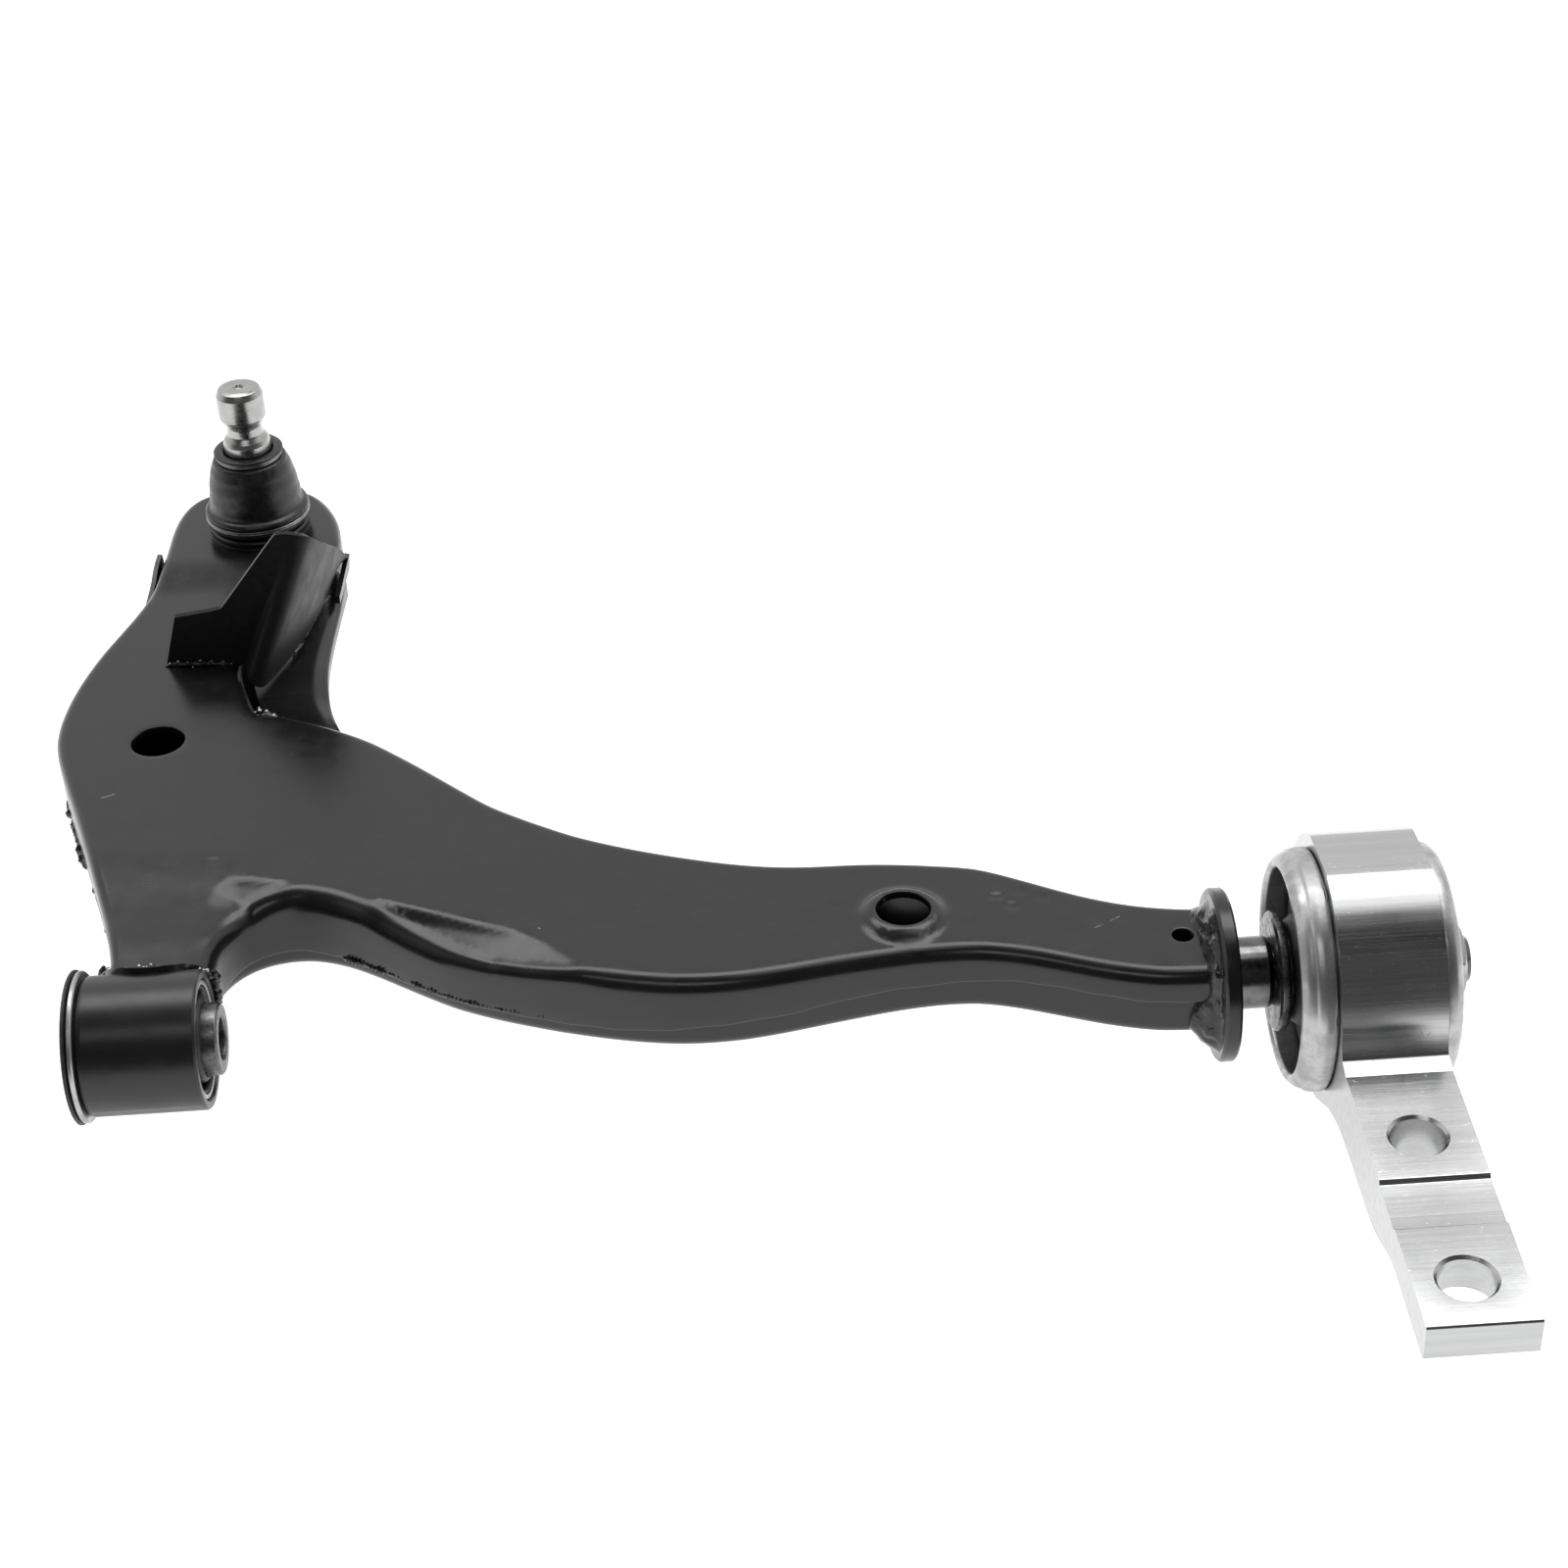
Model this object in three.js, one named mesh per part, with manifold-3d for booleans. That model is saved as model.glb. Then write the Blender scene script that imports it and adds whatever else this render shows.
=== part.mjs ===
// Front lower control arm: welded two-shell L-shaped arm with a ball joint, a horizontal front bush and a rear
// bush carried in an extruded bracket. Millimetres, +Z up. While modelling, X runs along the pivot axis through
// both bushes, Y points towards the ball joint and Z is parallel to the ball joint's housing. The finished group
// is shifted so the origin is the centre of the bottom of the whole object's box.
import * as THREE from "three";
import { mergeVertices } from "three/addons/utils/BufferGeometryUtils.js";
import Module from "manifold-3d";

// ---- driving dimensions -------------------------------------------------------------------------------------
const GAP = 0.3;                    // clearance left between pieces that touch
const SHEET = 3.0;                  // steel sheet of the two shells
const PLATE_TOP = 17;               // top of the main plate above the pivot axis
const REAR_TOP = 13.5;              // top of the rear leg where it meets the round flange
const PAD_TOP = 20;                 // top of the ball-joint pad
const ARM_BOTTOM = -13.5;           // underside of the lower shell

const EYE_R = 23.5;                 // front eye tube
const EYE_BORE_R = 20.4;
const EYE_X0 = -19.2;
const EYE_X1 = 19.8;
const FRONT_BOLT_R = 7.25;          // bolt bore of the front bush
const FRONT_INNER_R = 12.2;
const FRONT_INNER_X0 = -26;
const FRONT_INNER_X1 = 24.9;
const FRONT_LIP_R = 25.9;

const BALL_X = 10.5;                // ball-joint axis
const BALL_Y = 311;
const BALL_Z = 8;                   // centre of the ball
const BALL_R = 15;
const HOUSING_R = 21;
const STUD_HEAD_R = 9.5;
const STUD_GROOVE_R = 7.1;
const STUD_TOP = 84.5;
const BOOT_BASE_Z = 24.5;
const BOOT_LIP_Z = 56.5;

const DISC_R = 29.2;                // round flange at the end of the rear leg
const DISC_X0 = 355.6;
const DISC_X1 = 361.2;
const PIN_R = 12.25;
const SHANK_R = 9.0;
const REAR_COLLAR_R = 20.2;
const REAR_SLEEVE_R = 38.4;
const REAR_OPEN_R = 34.6;
const REAR_LIP_R = 41;
const BRACKET_X0 = 390;
const BRACKET_X1 = 424.5;
const RING_R = 45.5;
const LUG_END_Y = -165.7;
const LUG_TOP = -2;
const LUG_BOTTOM = -15;
const LUG_HOLE_R = 8.8;
const LUG_HOLES_Y = [-83.5, -146.5];
const LUG_HOLE_X = 406.5;

// ---- materials ----------------------------------------------------------------------------------------------
const paint = () => new THREE.MeshStandardMaterial({ color: 0x17181a, roughness: 0.35, metalness: 0.1 });
const steel = () => new THREE.MeshStandardMaterial({ color: 0xb9bab8, roughness: 0.35, metalness: 0.9 });
const alloy = () => new THREE.MeshStandardMaterial({ color: 0xd0d1d2, roughness: 0.4, metalness: 0.9 });
const rubber = () => new THREE.MeshStandardMaterial({ color: 0x1b1b1c, roughness: 0.85, metalness: 0 });
const polymer = () => new THREE.MeshStandardMaterial({ color: 0xd8d4c8, roughness: 0.6, metalness: 0 });

// ---- joining and cutting ------------------------------------------------------------------------------------
const wasm = await Module();
wasm.setup();

function bare(geometry) {
  const g = geometry.clone();
  for (const name of Object.keys(g.attributes)) {
    if (name !== "position") g.deleteAttribute(name);
  }
  const merged = mergeVertices(g, 1e-4);
  const kept = [];
  const idx = merged.index.array;
  for (let i = 0; i < idx.length; i += 3) {
    const [a, b, c] = [idx[i], idx[i + 1], idx[i + 2]];
    if (a !== b && b !== c && c !== a) kept.push(a, b, c);
  }
  merged.setIndex(kept);
  return merged;
}

function solid(geometry) {
  const g = bare(geometry);
  return new wasm.Manifold(new wasm.Mesh({
    numProp: 3,
    vertProperties: new Float32Array(g.attributes.position.array),
    triVerts: new Uint32Array(g.index.array),
  }));
}

function fromSolid(s) {
  const m = s.getMesh();
  const g = new THREE.BufferGeometry();
  const n = m.vertProperties.length / m.numProp;
  const pos = new Float32Array(n * 3);
  for (let i = 0; i < n; i += 1) {
    for (let k = 0; k < 3; k += 1) pos[i * 3 + k] = m.vertProperties[i * m.numProp + k];
  }
  g.setAttribute("position", new THREE.BufferAttribute(pos, 3));
  g.setIndex(new THREE.BufferAttribute(new Uint32Array(m.triVerts), 1));
  return g;
}

function cut(geometry, ...cutters) {
  let s = solid(geometry);
  for (const c of cutters) s = s.subtract(solid(c));
  return fromSolid(s);
}

function join(geometry, ...others) {
  let s = solid(geometry);
  for (const o of others) s = s.add(solid(o));
  return fromSolid(s);
}

// ---- shape helpers ------------------------------------------------------------------------------------------
// A turned piece about Z from [radius, height] pairs that close on themselves.
function turned(profile, segments = 40) {
  const pts = profile.map(([r, z]) => new THREE.Vector2(r, z));
  if (profile[0][0] > 0 || profile[profile.length - 1][0] > 0) pts.push(pts[0].clone());
  const g = new THREE.LatheGeometry(pts, segments);
  g.rotateX(Math.PI / 2);
  return bare(g);
}

// Turned about X: heights become X positions.
function turnedX(profile, segments = 40) {
  const g = turned(profile, segments);
  g.rotateY(Math.PI / 2);
  return g;
}

function cylinderZ(r, x, y, z0, z1, segments = 32) {
  const g = new THREE.CylinderGeometry(r, r, z1 - z0, segments);
  g.rotateX(Math.PI / 2);
  g.translate(x, y, (z0 + z1) / 2);
  return g;
}

function cylinderX(r, x0, x1, y, z, segments = 48) {
  const g = new THREE.CylinderGeometry(r, r, x1 - x0, segments);
  g.rotateZ(Math.PI / 2);
  g.translate((x0 + x1) / 2, y, z);
  return g;
}

function block(x0, x1, y0, y1, z0, z1) {
  const g = new THREE.BoxGeometry(x1 - x0, y1 - y0, z1 - z0);
  g.translate((x0 + x1) / 2, (y0 + y1) / 2, (z0 + z1) / 2);
  return g;
}

// Signed volume tells whether the faces point out; a reversed body is turned the right way round.
function outward(geometry) {
  const g = geometry.index ? geometry : mergeVertices(geometry);
  const p = g.attributes.position;
  const idx = g.index.array;
  const a = new THREE.Vector3();
  const b = new THREE.Vector3();
  const c = new THREE.Vector3();
  let v = 0;
  for (let i = 0; i < idx.length; i += 3) {
    a.fromBufferAttribute(p, idx[i]);
    b.fromBufferAttribute(p, idx[i + 1]);
    c.fromBufferAttribute(p, idx[i + 2]);
    v += a.dot(b.cross(c));
  }
  if (v < 0) {
    for (let i = 0; i < idx.length; i += 3) {
      const t = idx[i];
      idx[i] = idx[i + 1];
      idx[i + 1] = t;
    }
  }
  return g;
}

// ---- pressed shells -----------------------------------------------------------------------------------------
// A pressed shell is a ribbon of stations. Each station joins a point on one long edge to a point on the other;
// the closed outline around the ribbon carries the turned-down (or turned-up) wall.
// level(x, y) is the height of the flat face, wall(x, y) the height where the wall ends, side is +1 for a shell
// that opens downwards and -1 for one that opens upwards.
function pressedShell({ stations, across, level, wall, side, corner, sheet }) {
  const n = stations.length;
  const loop = [];
  for (let i = 0; i < n; i += 1) loop.push([i, 0]);
  for (let k = 1; k < across; k += 1) loop.push([n - 1, k]);
  for (let i = n - 1; i >= 0; i -= 1) loop.push([i, across]);
  for (let k = across - 1; k > 0; k -= 1) loop.push([0, k]);
  const outline = loop.map(([i, k]) => {
    const [a, b] = stations[i];
    const f = k / across;
    return new THREE.Vector2(a[0] + (b[0] - a[0]) * f, a[1] + (b[1] - a[1]) * f);
  });
  const area = THREE.ShapeUtils.area(outline);
  const turn = area > 0 ? 1 : -1;
  const normal = outline.map((p, i) => {
    const prev = outline[(i + outline.length - 1) % outline.length];
    const next = outline[(i + 1) % outline.length];
    const d0 = p.clone().sub(prev).normalize();
    const d1 = next.clone().sub(p).normalize();
    const n0 = new THREE.Vector2(-d0.y, d0.x).multiplyScalar(turn);
    const n1 = new THREE.Vector2(-d1.y, d1.x).multiplyScalar(turn);
    const m = n0.clone().add(n1);
    const s = Math.max(m.lengthSq() / 2, 0.8);
    return m.divideScalar(s);
  });
  const inset = (d) => outline.map((p, i) => p.clone().addScaledVector(normal[i], d));
  const index = new Map(loop.map(([i, k], j) => [`${i},${k}`, j]));

  const pos = [];
  const tri = [];
  const put = (x, y, z) => {
    pos.push(x, y, z);
    return pos.length / 3 - 1;
  };
  const quad = (a, b, c, d) => tri.push(a, b, c, a, c, d);

  function skin(d, drop, roll) {
    const rim = inset(d + roll);
    const grid = [];
    for (let i = 0; i < n; i += 1) {
      const row = [];
      const a = rim[index.get(`${i},0`)];
      const b = rim[index.get(`${i},${across}`)];
      for (let k = 0; k <= across; k += 1) {
        const j = index.get(`${i},${k}`);
        const f = k / across;
        const x = j === undefined ? a.x + (b.x - a.x) * f : rim[j].x;
        const y = j === undefined ? a.y + (b.y - a.y) * f : rim[j].y;
        row.push(put(x, y, level(x, y) - side * drop));
      }
      grid.push(row);
    }
    const edge = inset(d);
    const shoulder = edge.map((p, j) => {
      const q = rim[j];
      return put(p.x, p.y, level(q.x, q.y) - side * (drop + roll));
    });
    const foot = edge.map((p) => put(p.x, p.y, wall(p.x, p.y)));
    const top = loop.map(([i, k]) => grid[i][k]);
    return { grid, top, shoulder, foot };
  }

  const outer = skin(0, 0, corner);
  const inner = skin(sheet, sheet, Math.max(corner - sheet, 0.8));
  for (const [s, flip] of [[outer, false], [inner, true]]) {
    const q = flip ? (a, b, c, d) => quad(d, c, b, a) : quad;
    for (let i = 0; i < n - 1; i += 1) {
      for (let k = 0; k < across; k += 1) {
        q(s.grid[i][k], s.grid[i + 1][k], s.grid[i + 1][k + 1], s.grid[i][k + 1]);
      }
    }
    for (let j = 0; j < loop.length; j += 1) {
      const m = (j + 1) % loop.length;
      q(s.top[m], s.top[j], s.shoulder[j], s.shoulder[m]);
      q(s.shoulder[m], s.shoulder[j], s.foot[j], s.foot[m]);
    }
  }
  for (let j = 0; j < loop.length; j += 1) {
    const m = (j + 1) % loop.length;
    quad(outer.foot[m], outer.foot[j], inner.foot[j], inner.foot[m]);
  }
  const g = new THREE.BufferGeometry();
  g.setAttribute("position", new THREE.BufferAttribute(new Float32Array(pos), 3));
  g.setIndex(tri);
  return outward(g);
}

// Closed body through a row of matching closed sections. Every section is star-shaped from its first point.
function lofted(sections) {
  const m = sections[0].length;
  const pos = sections.flat(2);
  const tri = [];
  for (let i = 0; i < sections.length - 1; i += 1) {
    for (let k = 0; k < m; k += 1) {
      const a = i * m + k;
      const b = i * m + ((k + 1) % m);
      tri.push(a, b, b + m, a, b + m, a + m);
    }
  }
  const last = (sections.length - 1) * m;
  for (let k = 1; k < m - 1; k += 1) {
    tri.push(0, k + 1, k);
    tri.push(last, last + k, last + k + 1);
  }
  const g = new THREE.BufferGeometry();
  g.setAttribute("position", new THREE.BufferAttribute(new Float32Array(pos), 3));
  g.setIndex(tri);
  return outward(g);
}

// Smooth list of points through a few hand-set ones.
function through(points, count) {
  const curve = new THREE.CatmullRomCurve3(points.map(([x, y]) => new THREE.Vector3(x, y, 0)), false, "centripetal");
  return curve.getSpacedPoints(count).map((p) => [p.x, p.y]);
}

const smooth = (a, b, x) => {
  const t = Math.min(Math.max((x - a) / (b - a), 0), 1);
  return t * t * (3 - 2 * t);
};

// Distance from the scalloped front edge, used for the pressed step that runs along it.
const STEP_LINE = [
  [14, 60], [24, 72], [34, 73], [46, 69], [62, 60], [80, 49], [98, 40], [116, 32], [134, 23], [150, 10], [165, 0],
  [185, -6],
];
function stepDepth(x, y) {
  if (x < 8 || x > 200) return 0;
  let lineY = STEP_LINE[0][1];
  for (let i = 1; i < STEP_LINE.length; i += 1) {
    const [x0, y0] = STEP_LINE[i - 1];
    const [x1, y1] = STEP_LINE[i];
    if (x >= x0 && x <= x1) lineY = y0 + ((y1 - y0) * (x - x0)) / (x1 - x0);
    if (x > x1) lineY = y1;
  }
  const fade = smooth(8, 24, x) * (1 - smooth(150, 195, x));
  return 7 * smooth(0, 12, lineY - y) * fade;
}

// Height of the upper face: raised pad, flat plate, gentle fall along the rear leg, ramp down to the front eye.
function upperLevel(x, y) {
  let z = PLATE_TOP - (PLATE_TOP - REAR_TOP) * smooth(90, 340, x);
  z += (PAD_TOP - PLATE_TOP) * smooth(262, 286, y);
  z -= 2.5 * (1 - smooth(48, 84, y)) * (1 - smooth(14, 34, x));
  z -= stepDepth(x, y);
  return z;
}

const seamLevel = (x, y) => {
  const base = -8 + 10 * smooth(60, 330, x);
  if (x > 10) return base + (7 - base) * smooth(240, 262, y);
  return base + (8 - base) * smooth(280, 292, y);
};

const UPPER_OUTER = [
  [-3, 345.5], [-11, 343.5], [-18, 339.5], [-23, 332], [-26, 320], [-27, 306], [-27.5, 290], [-29.5, 272],
  [-36, 248], [-44, 225], [-50, 202], [-53, 180], [-52.5, 162], [-47, 141], [-39, 116], [-31, 90], [-24, 67],
  [-18, 45], [-15, 30], [-14.5, 16], [-6, 14], [6, 14], [18.8, 15], [20.5, 34], [26, 46.5], [34.5, 53], [46, 54.5],
  [60, 49.5], [78, 37], [98, 22], [122, 9.5], [147, 0], [175, -6.5], [200, -6.5], [228, -1.5], [255, 2.5],
  [278, 3], [296, -1.5], [317, -10], [336, -15.5], [352, -16.5], [361, -16.5],
];
const UPPER_INNER = [
  [13, 345.5], [22, 343], [30.5, 337.5], [37.5, 327], [42, 315], [44, 303], [44, 292], [38, 276],
  [27, 256], [17, 236], [12.5, 219], [13, 204], [17.5, 188], [21.5, 172], [30, 172], [44, 165], [58, 156.5],
  [68, 149], [77, 140.5], [86, 131.5], [95, 122], [104, 112.5], [113, 103.5], [122, 96.5], [132, 89.5], [143, 82.5],
  [155, 76.5], [168, 71], [182, 66], [197, 61.5], [212, 58.5], [226, 57.5], [240, 57.5], [254, 56.5], [268, 54.5],
  [282, 51.5], [295, 45], [307, 38], [320, 31], [334, 25.5], [350, 22], [361, 21.5],
];
const upperStations = UPPER_OUTER.map((p, i) => [p, UPPER_INNER[i]]);

// The lower shell nests inside the upper wall, except along the inner side of the ball-joint leg, where it is
// wider than the upper shell and carries a pressed side plate.
const NEST = SHEET + GAP;
const LOWER_OUTER = [
  [-10, 291], [-17, 291], [-23.8, 290.5], [-25.8, 272], [-32.7, 247], [-40.7, 224], [-46.7, 201], [-49.6, 180],
  [-49.2, 162.5], [-43.8, 142], [-35.8, 117], [-27.8, 91], [-20.8, 68], [-14.7, 45.5], [-11.7, 30], [-11.2, 18],
  [-5, 17.5], [6, 17.5], [15.4, 18], [17.2, 35.5], [23.3, 48.6], [32.9, 56], [46.5, 57.9], [61.6, 52.5],
  [79.8, 39.7], [99.8, 24.8], [123.3, 12.5], [148, 3.1], [175.6, -3.2], [199.6, -3.2], [227, 1.6], [254.4, 5.8],
  [278.6, 6.3], [297.2, 1.6], [318, -6.8], [336.6, -12.2], [352, -13.2], [361, -13.2],
];
const LOWER_INNER = [
  [10, 291], [26, 291], [42, 290.5], [41, 272], [39.5, 247], [39, 226], [40, 208], [42.5, 192], [46.5, 178],
  [52, 166], [58, 157.5], [65.8, 147], [74.6, 138], [83.6, 129.2], [92.6, 119.8], [101.6, 110.2], [110.8, 101],
  [120, 93.8], [130.2, 86.7], [141.5, 79.5], [153.6, 73.5], [167, 67.9], [181, 62.9], [196.2, 58.3], [211.6, 55.2],
  [225.8, 54.2], [240, 54.2], [253.6, 53.2], [267.2, 51.3], [280.6, 48.4], [293.4, 42.2], [305.4, 35.1],
  [318.6, 28], [333, 22.3], [342, 20.2], [350, 18.8], [356, 18.3], [361, 18.2],
];
const lowerStations = LOWER_OUTER.map((p, i) => [p, LOWER_INNER[i]]);
const lowerWall = (x, y) => {
  if (y > 170 && x > 10) return 0;
  if (y > 135 && x > 44) return seamLevel(x, y) - 0.6;
  return Math.min(seamLevel(x, y) + 5, 6);
};

const group = new THREE.Group();
function add(name, geometry, material, at = [0, 0, 0]) {
  const mesh = new THREE.Mesh(outward(bare(geometry)), material);
  mesh.geometry.computeVertexNormals();
  mesh.name = name;
  mesh.position.set(...at);
  group.add(mesh);
  return mesh;
}

// ---- arm body -----------------------------------------------------------------------------------------------
const endCut = block(354.4, 380, -60, 60, -60, 60);
const eyeCut = cylinderX(EYE_R + GAP, -60, 60, 0, 0);
add("upper_shell", cut(
  pressedShell({
    stations: upperStations, across: 4, level: upperLevel, wall: seamLevel, side: 1, corner: 3.6, sheet: SHEET,
  }),
  endCut,
  eyeCut,
  cylinderZ(9.8, -13.5, 157, 0, 40),
  cylinderZ(8.6, 255, 29, 0, 40),
  cylinderZ(3.4, 346.5, 5.5, 0, 40, 16),
  cylinderZ(HOUSING_R + GAP, BALL_X, BALL_Y, 0, 40, 40),
), paint());

const lowerBody = pressedShell({
  stations: lowerStations, across: 2, level: () => ARM_BOTTOM, wall: lowerWall, side: -1, corner: 3.6, sheet: SHEET,
});
add("lower_shell", cut(
  lowerBody,
  endCut,
  eyeCut,
  block(-60, 60, 286, 300, -20, 20),
  cylinderZ(9.8, -13.5, 157, -40, 0),
  cylinderZ(8.6, 255, 29, -40, 0),
  cylinderZ(6.5, 120, 55, -40, 0),
  cylinderZ(6.5, 300, 20, -40, 0),
), paint());

// Pressed plate that closes the inner side of the ball-joint leg, between the upper shell's wall and the edge.
const SIDE_IN = [[41.5, 285], [31, 258.5], [20.5, 238], [16.2, 220], [16.7, 205], [21.2, 189], [25.2, 176], [33, 175.6]];
const SIDE_OUT = [[46, 285], [44.6, 262], [43.6, 243], [43.2, 226], [44, 209], [46.5, 193.5], [50.5, 180], [56, 168]];
const sideIn = through(SIDE_IN, 12);
const sideOut = through(SIDE_OUT, 12);
add("inner_side_plate", lofted(sideIn.map(([x0, y0], i) => {
  const [x1, y1] = sideOut[i];
  const f = (d) => [x1 + ((x0 - x1) * d) / Math.hypot(x0 - x1, y0 - y1), y1 + ((y0 - y1) * d) / Math.hypot(x0 - x1, y0 - y1)];
  const z0 = 9 + 4 * smooth(262, 284, y0);
  const z1 = z0 - 3;
  return [
    [...f(3.2), z1 - 2.9], [x0, y0, z0 - 2.6], [x0, y0, z0], [...f(3.2), z1], [...f(0.8), z1 - 1.2], [x1, y1, z1 - 3.6],
    [x1, y1, 0.5], [...f(2.6), 0.5], [...f(2.6), z1 - 4.4],
  ];
})), paint());

// Front eye.
add("front_eye_tube", turnedX([
  [EYE_BORE_R, EYE_X0], [EYE_R - 0.8, EYE_X0], [EYE_R, EYE_X0 + 0.8], [EYE_R, EYE_X1 - 0.8],
  [EYE_R - 0.8, EYE_X1], [EYE_BORE_R, EYE_X1],
], 32), paint());

// Round flange and pin at the rear.
add("rear_flange", turnedX([
  [PIN_R + GAP, DISC_X0], [DISC_R - 0.6, DISC_X0], [DISC_R, DISC_X0 + 0.6], [DISC_R, DISC_X1 - 0.6],
  [DISC_R - 0.6, DISC_X1], [PIN_R + GAP, DISC_X1],
], 32), paint());
add("rear_pin", turnedX([
  [0, 354.8], [PIN_R - 1, 354.8], [PIN_R, 355.8], [PIN_R, 375], [SHANK_R, 375], [SHANK_R, 440.5], [SHANK_R - 1, 441.5],
  [0, 441.5],
], 28), steel());

// Steering-stop bracket beside the ball joint: an upright web across the leg with a gusset folded back along
// the inner edge.
function platePolygon(points, thickness) {
  const p = points.map((q) => new THREE.Vector3(...q));
  const n = new THREE.Vector3();
  for (let i = 0; i < p.length; i += 1) {
    const a = p[i];
    const b = p[(i + 1) % p.length];
    n.x += (a.y - b.y) * (a.z + b.z);
    n.y += (a.z - b.z) * (a.x + b.x);
    n.z += (a.x - b.x) * (a.y + b.y);
  }
  n.normalize();
  const u = p[1].clone().sub(p[0]).normalize();
  const v = n.clone().cross(u);
  const shape = new THREE.Shape(p.map((q) => {
    const d = q.clone().sub(p[0]);
    return new THREE.Vector2(d.dot(u), d.dot(v));
  }));
  const g = new THREE.ExtrudeGeometry(shape, { depth: thickness, bevelEnabled: false });
  const m = new THREE.Matrix4().makeBasis(u, v, n);
  m.setPosition(p[0]);
  g.applyMatrix4(m);
  return g;
}
const STOP_T = 2.6;
const stopWeb = platePolygon([
  [-16, 213, 18], [12, 212, 18], [23, 211, 12], [24, 211, 30], [43, 209.5, 70], [40, 209.5, 73.5], [34, 209.8, 73],
  [12, 211.8, 50], [7, 212.2, 44], [-10, 213, 40],
], STOP_T);
const stopGusset = platePolygon([
  [24.5, 208.6, 30], [43.5, 208.6, 69], [46.2, 262, 36], [47, 284, 20], [44, 283, 15.5], [38, 258, 13.5],
  [27, 222, 12.5], [23, 208.6, 12.5],
], STOP_T);

add("steering_stop", join(stopWeb, stopGusset), paint());

// ---- ball joint ---------------------------------------------------------------------------------------------
const ballAt = [BALL_X, BALL_Y, 0];
add("ball_housing", turned([
  [18.3, -9.6], [18.3, 15], [13.4, 20.3], [13.6, 21.5], [15.8, 25], [17.6, 25], [17.6, 22.8],
  [HOUSING_R - 0.4, 22.8], [22.4, 22], [22.4, PAD_TOP + 0.3], [HOUSING_R, PAD_TOP + 0.3], [HOUSING_R, 4],
  [HOUSING_R - 1, 3], [HOUSING_R - 1, -8.6], [HOUSING_R - 1.6, -9.6],
], 28), paint(), ballAt);

function sphereArc(radius, z0, z1, steps) {
  const out = [];
  for (let i = 0; i <= steps; i += 1) {
    const z = z0 + ((z1 - z0) * i) / steps;
    out.push([Math.sqrt(Math.max(radius * radius - z * z, 0)), BALL_Z + z]);
  }
  return out;
}
add("ball_seat_upper", turned([
  [17.9, BALL_Z + 0.2], [17.9, 14.8], [13.4, 19.7], [13, 19.3], ...sphereArc(BALL_R + GAP, 9, 0.2, 4),
], 24), polymer(), ballAt);
add("ball_seat_lower", turned([
  [17.9, BALL_Z - 0.2], ...sphereArc(BALL_R + GAP, -0.2, -11.5, 4), [9.8, -6], [17.9, -2.4],
], 24), polymer(), ballAt);
add("preload_spring", turned([
  [9.6, -7.8], [9.6, -7], [15.4, -4], [16.6, -4], [16.6, -4.8],
], 24), steel(), ballAt);
add("housing_cover", turned([
  [0, -10.4], [16.8, -10.4], [18, -9.2], [18, -8.2], [12.5, -8.2], [0, -8.6],
], 28), steel(), ballAt);
const ballStud = [];
for (let i = 0; i <= 8; i += 1) {
  const a = -Math.PI / 2 + ((Math.PI / 2 + 1.04) * i) / 8;
  ballStud.push([Math.max(BALL_R * Math.cos(a), 0), BALL_Z + BALL_R * Math.sin(a)]);
}
ballStud.push(
  [7.5, 22], [7.6, 26], [9.2, 40], [9.6, 57], [9.5, 60], [8.9, 62], [STUD_GROOVE_R, 64.3], [STUD_GROOVE_R, 67.2],
  [STUD_HEAD_R - 0.6, 71], [STUD_HEAD_R, 72.4], [STUD_HEAD_R, 81.4], [STUD_HEAD_R - 1.2, 83.6],
  [STUD_HEAD_R - 3.2, STUD_TOP], [0, STUD_TOP],
);
add("ball_stud", turned(ballStud, 24), steel(), ballAt);

// Dust boot: bottom band in the housing's groove, tapered body, thick lip gripping the stud.
add("boot_bottom_ring", turned([
  [20.4, 24.6], [21.8, 24.6], [21.8, 27], [20.4, 27],
], 24), steel(), ballAt);
add("dust_boot", turned([
  [18, 23.2], [21.4, 23.2], [21.4, 24.2], [20, 24.3], [20, 27.3], [21.2, 27.6], [21, 29.4], [19, 30.4],
  [18.7, 34], [17.6, 42], [15.6, 51], [14.6, 53], [12.4, 53.2], [12.4, 55.4], [14.4, 55.7], [13.8, BOOT_LIP_Z],
  [10.1, BOOT_LIP_Z], [9.9, 48], [12.6, 46.8], [15.2, 40], [16.4, 33], [16.6, 29], [18, 27],
], 24), rubber(), ballAt);
add("boot_top_ring", turned([
  [12.7, 53.5], [14.3, 53.5], [14.3, 55.1], [12.7, 55.1],
], 24), steel(), ballAt);

// ---- front bush ---------------------------------------------------------------------------------------------
const FS_R = EYE_BORE_R - GAP;
add("front_bush_outer_sleeve", turnedX([
  [FS_R - 1.8, -21.9], [25, -21.9], [25.4, -21.4], [25.4, -20.3], [25, -19.9], [FS_R, -19.9], [FS_R, 19],
  [FS_R - 1.8, 19],
], 32), steel());
add("front_bush_rubber", turnedX([
  [FRONT_INNER_R + GAP, -22.4], [FS_R - 4, -24.6], [FRONT_LIP_R - 0.6, -24.4], [FRONT_LIP_R, -23.8],
  [FRONT_LIP_R, -22.8], [FRONT_LIP_R - 0.6, -22.2], [FS_R - 2.1, -22.2], [FS_R - 2.1, 17.6], [17.4, 18.4],
  [16.4, 17], [16, 11], [15, 11], [14.6, 17.5], [FRONT_INNER_R + GAP, 19.6],
], 28), rubber());
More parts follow.
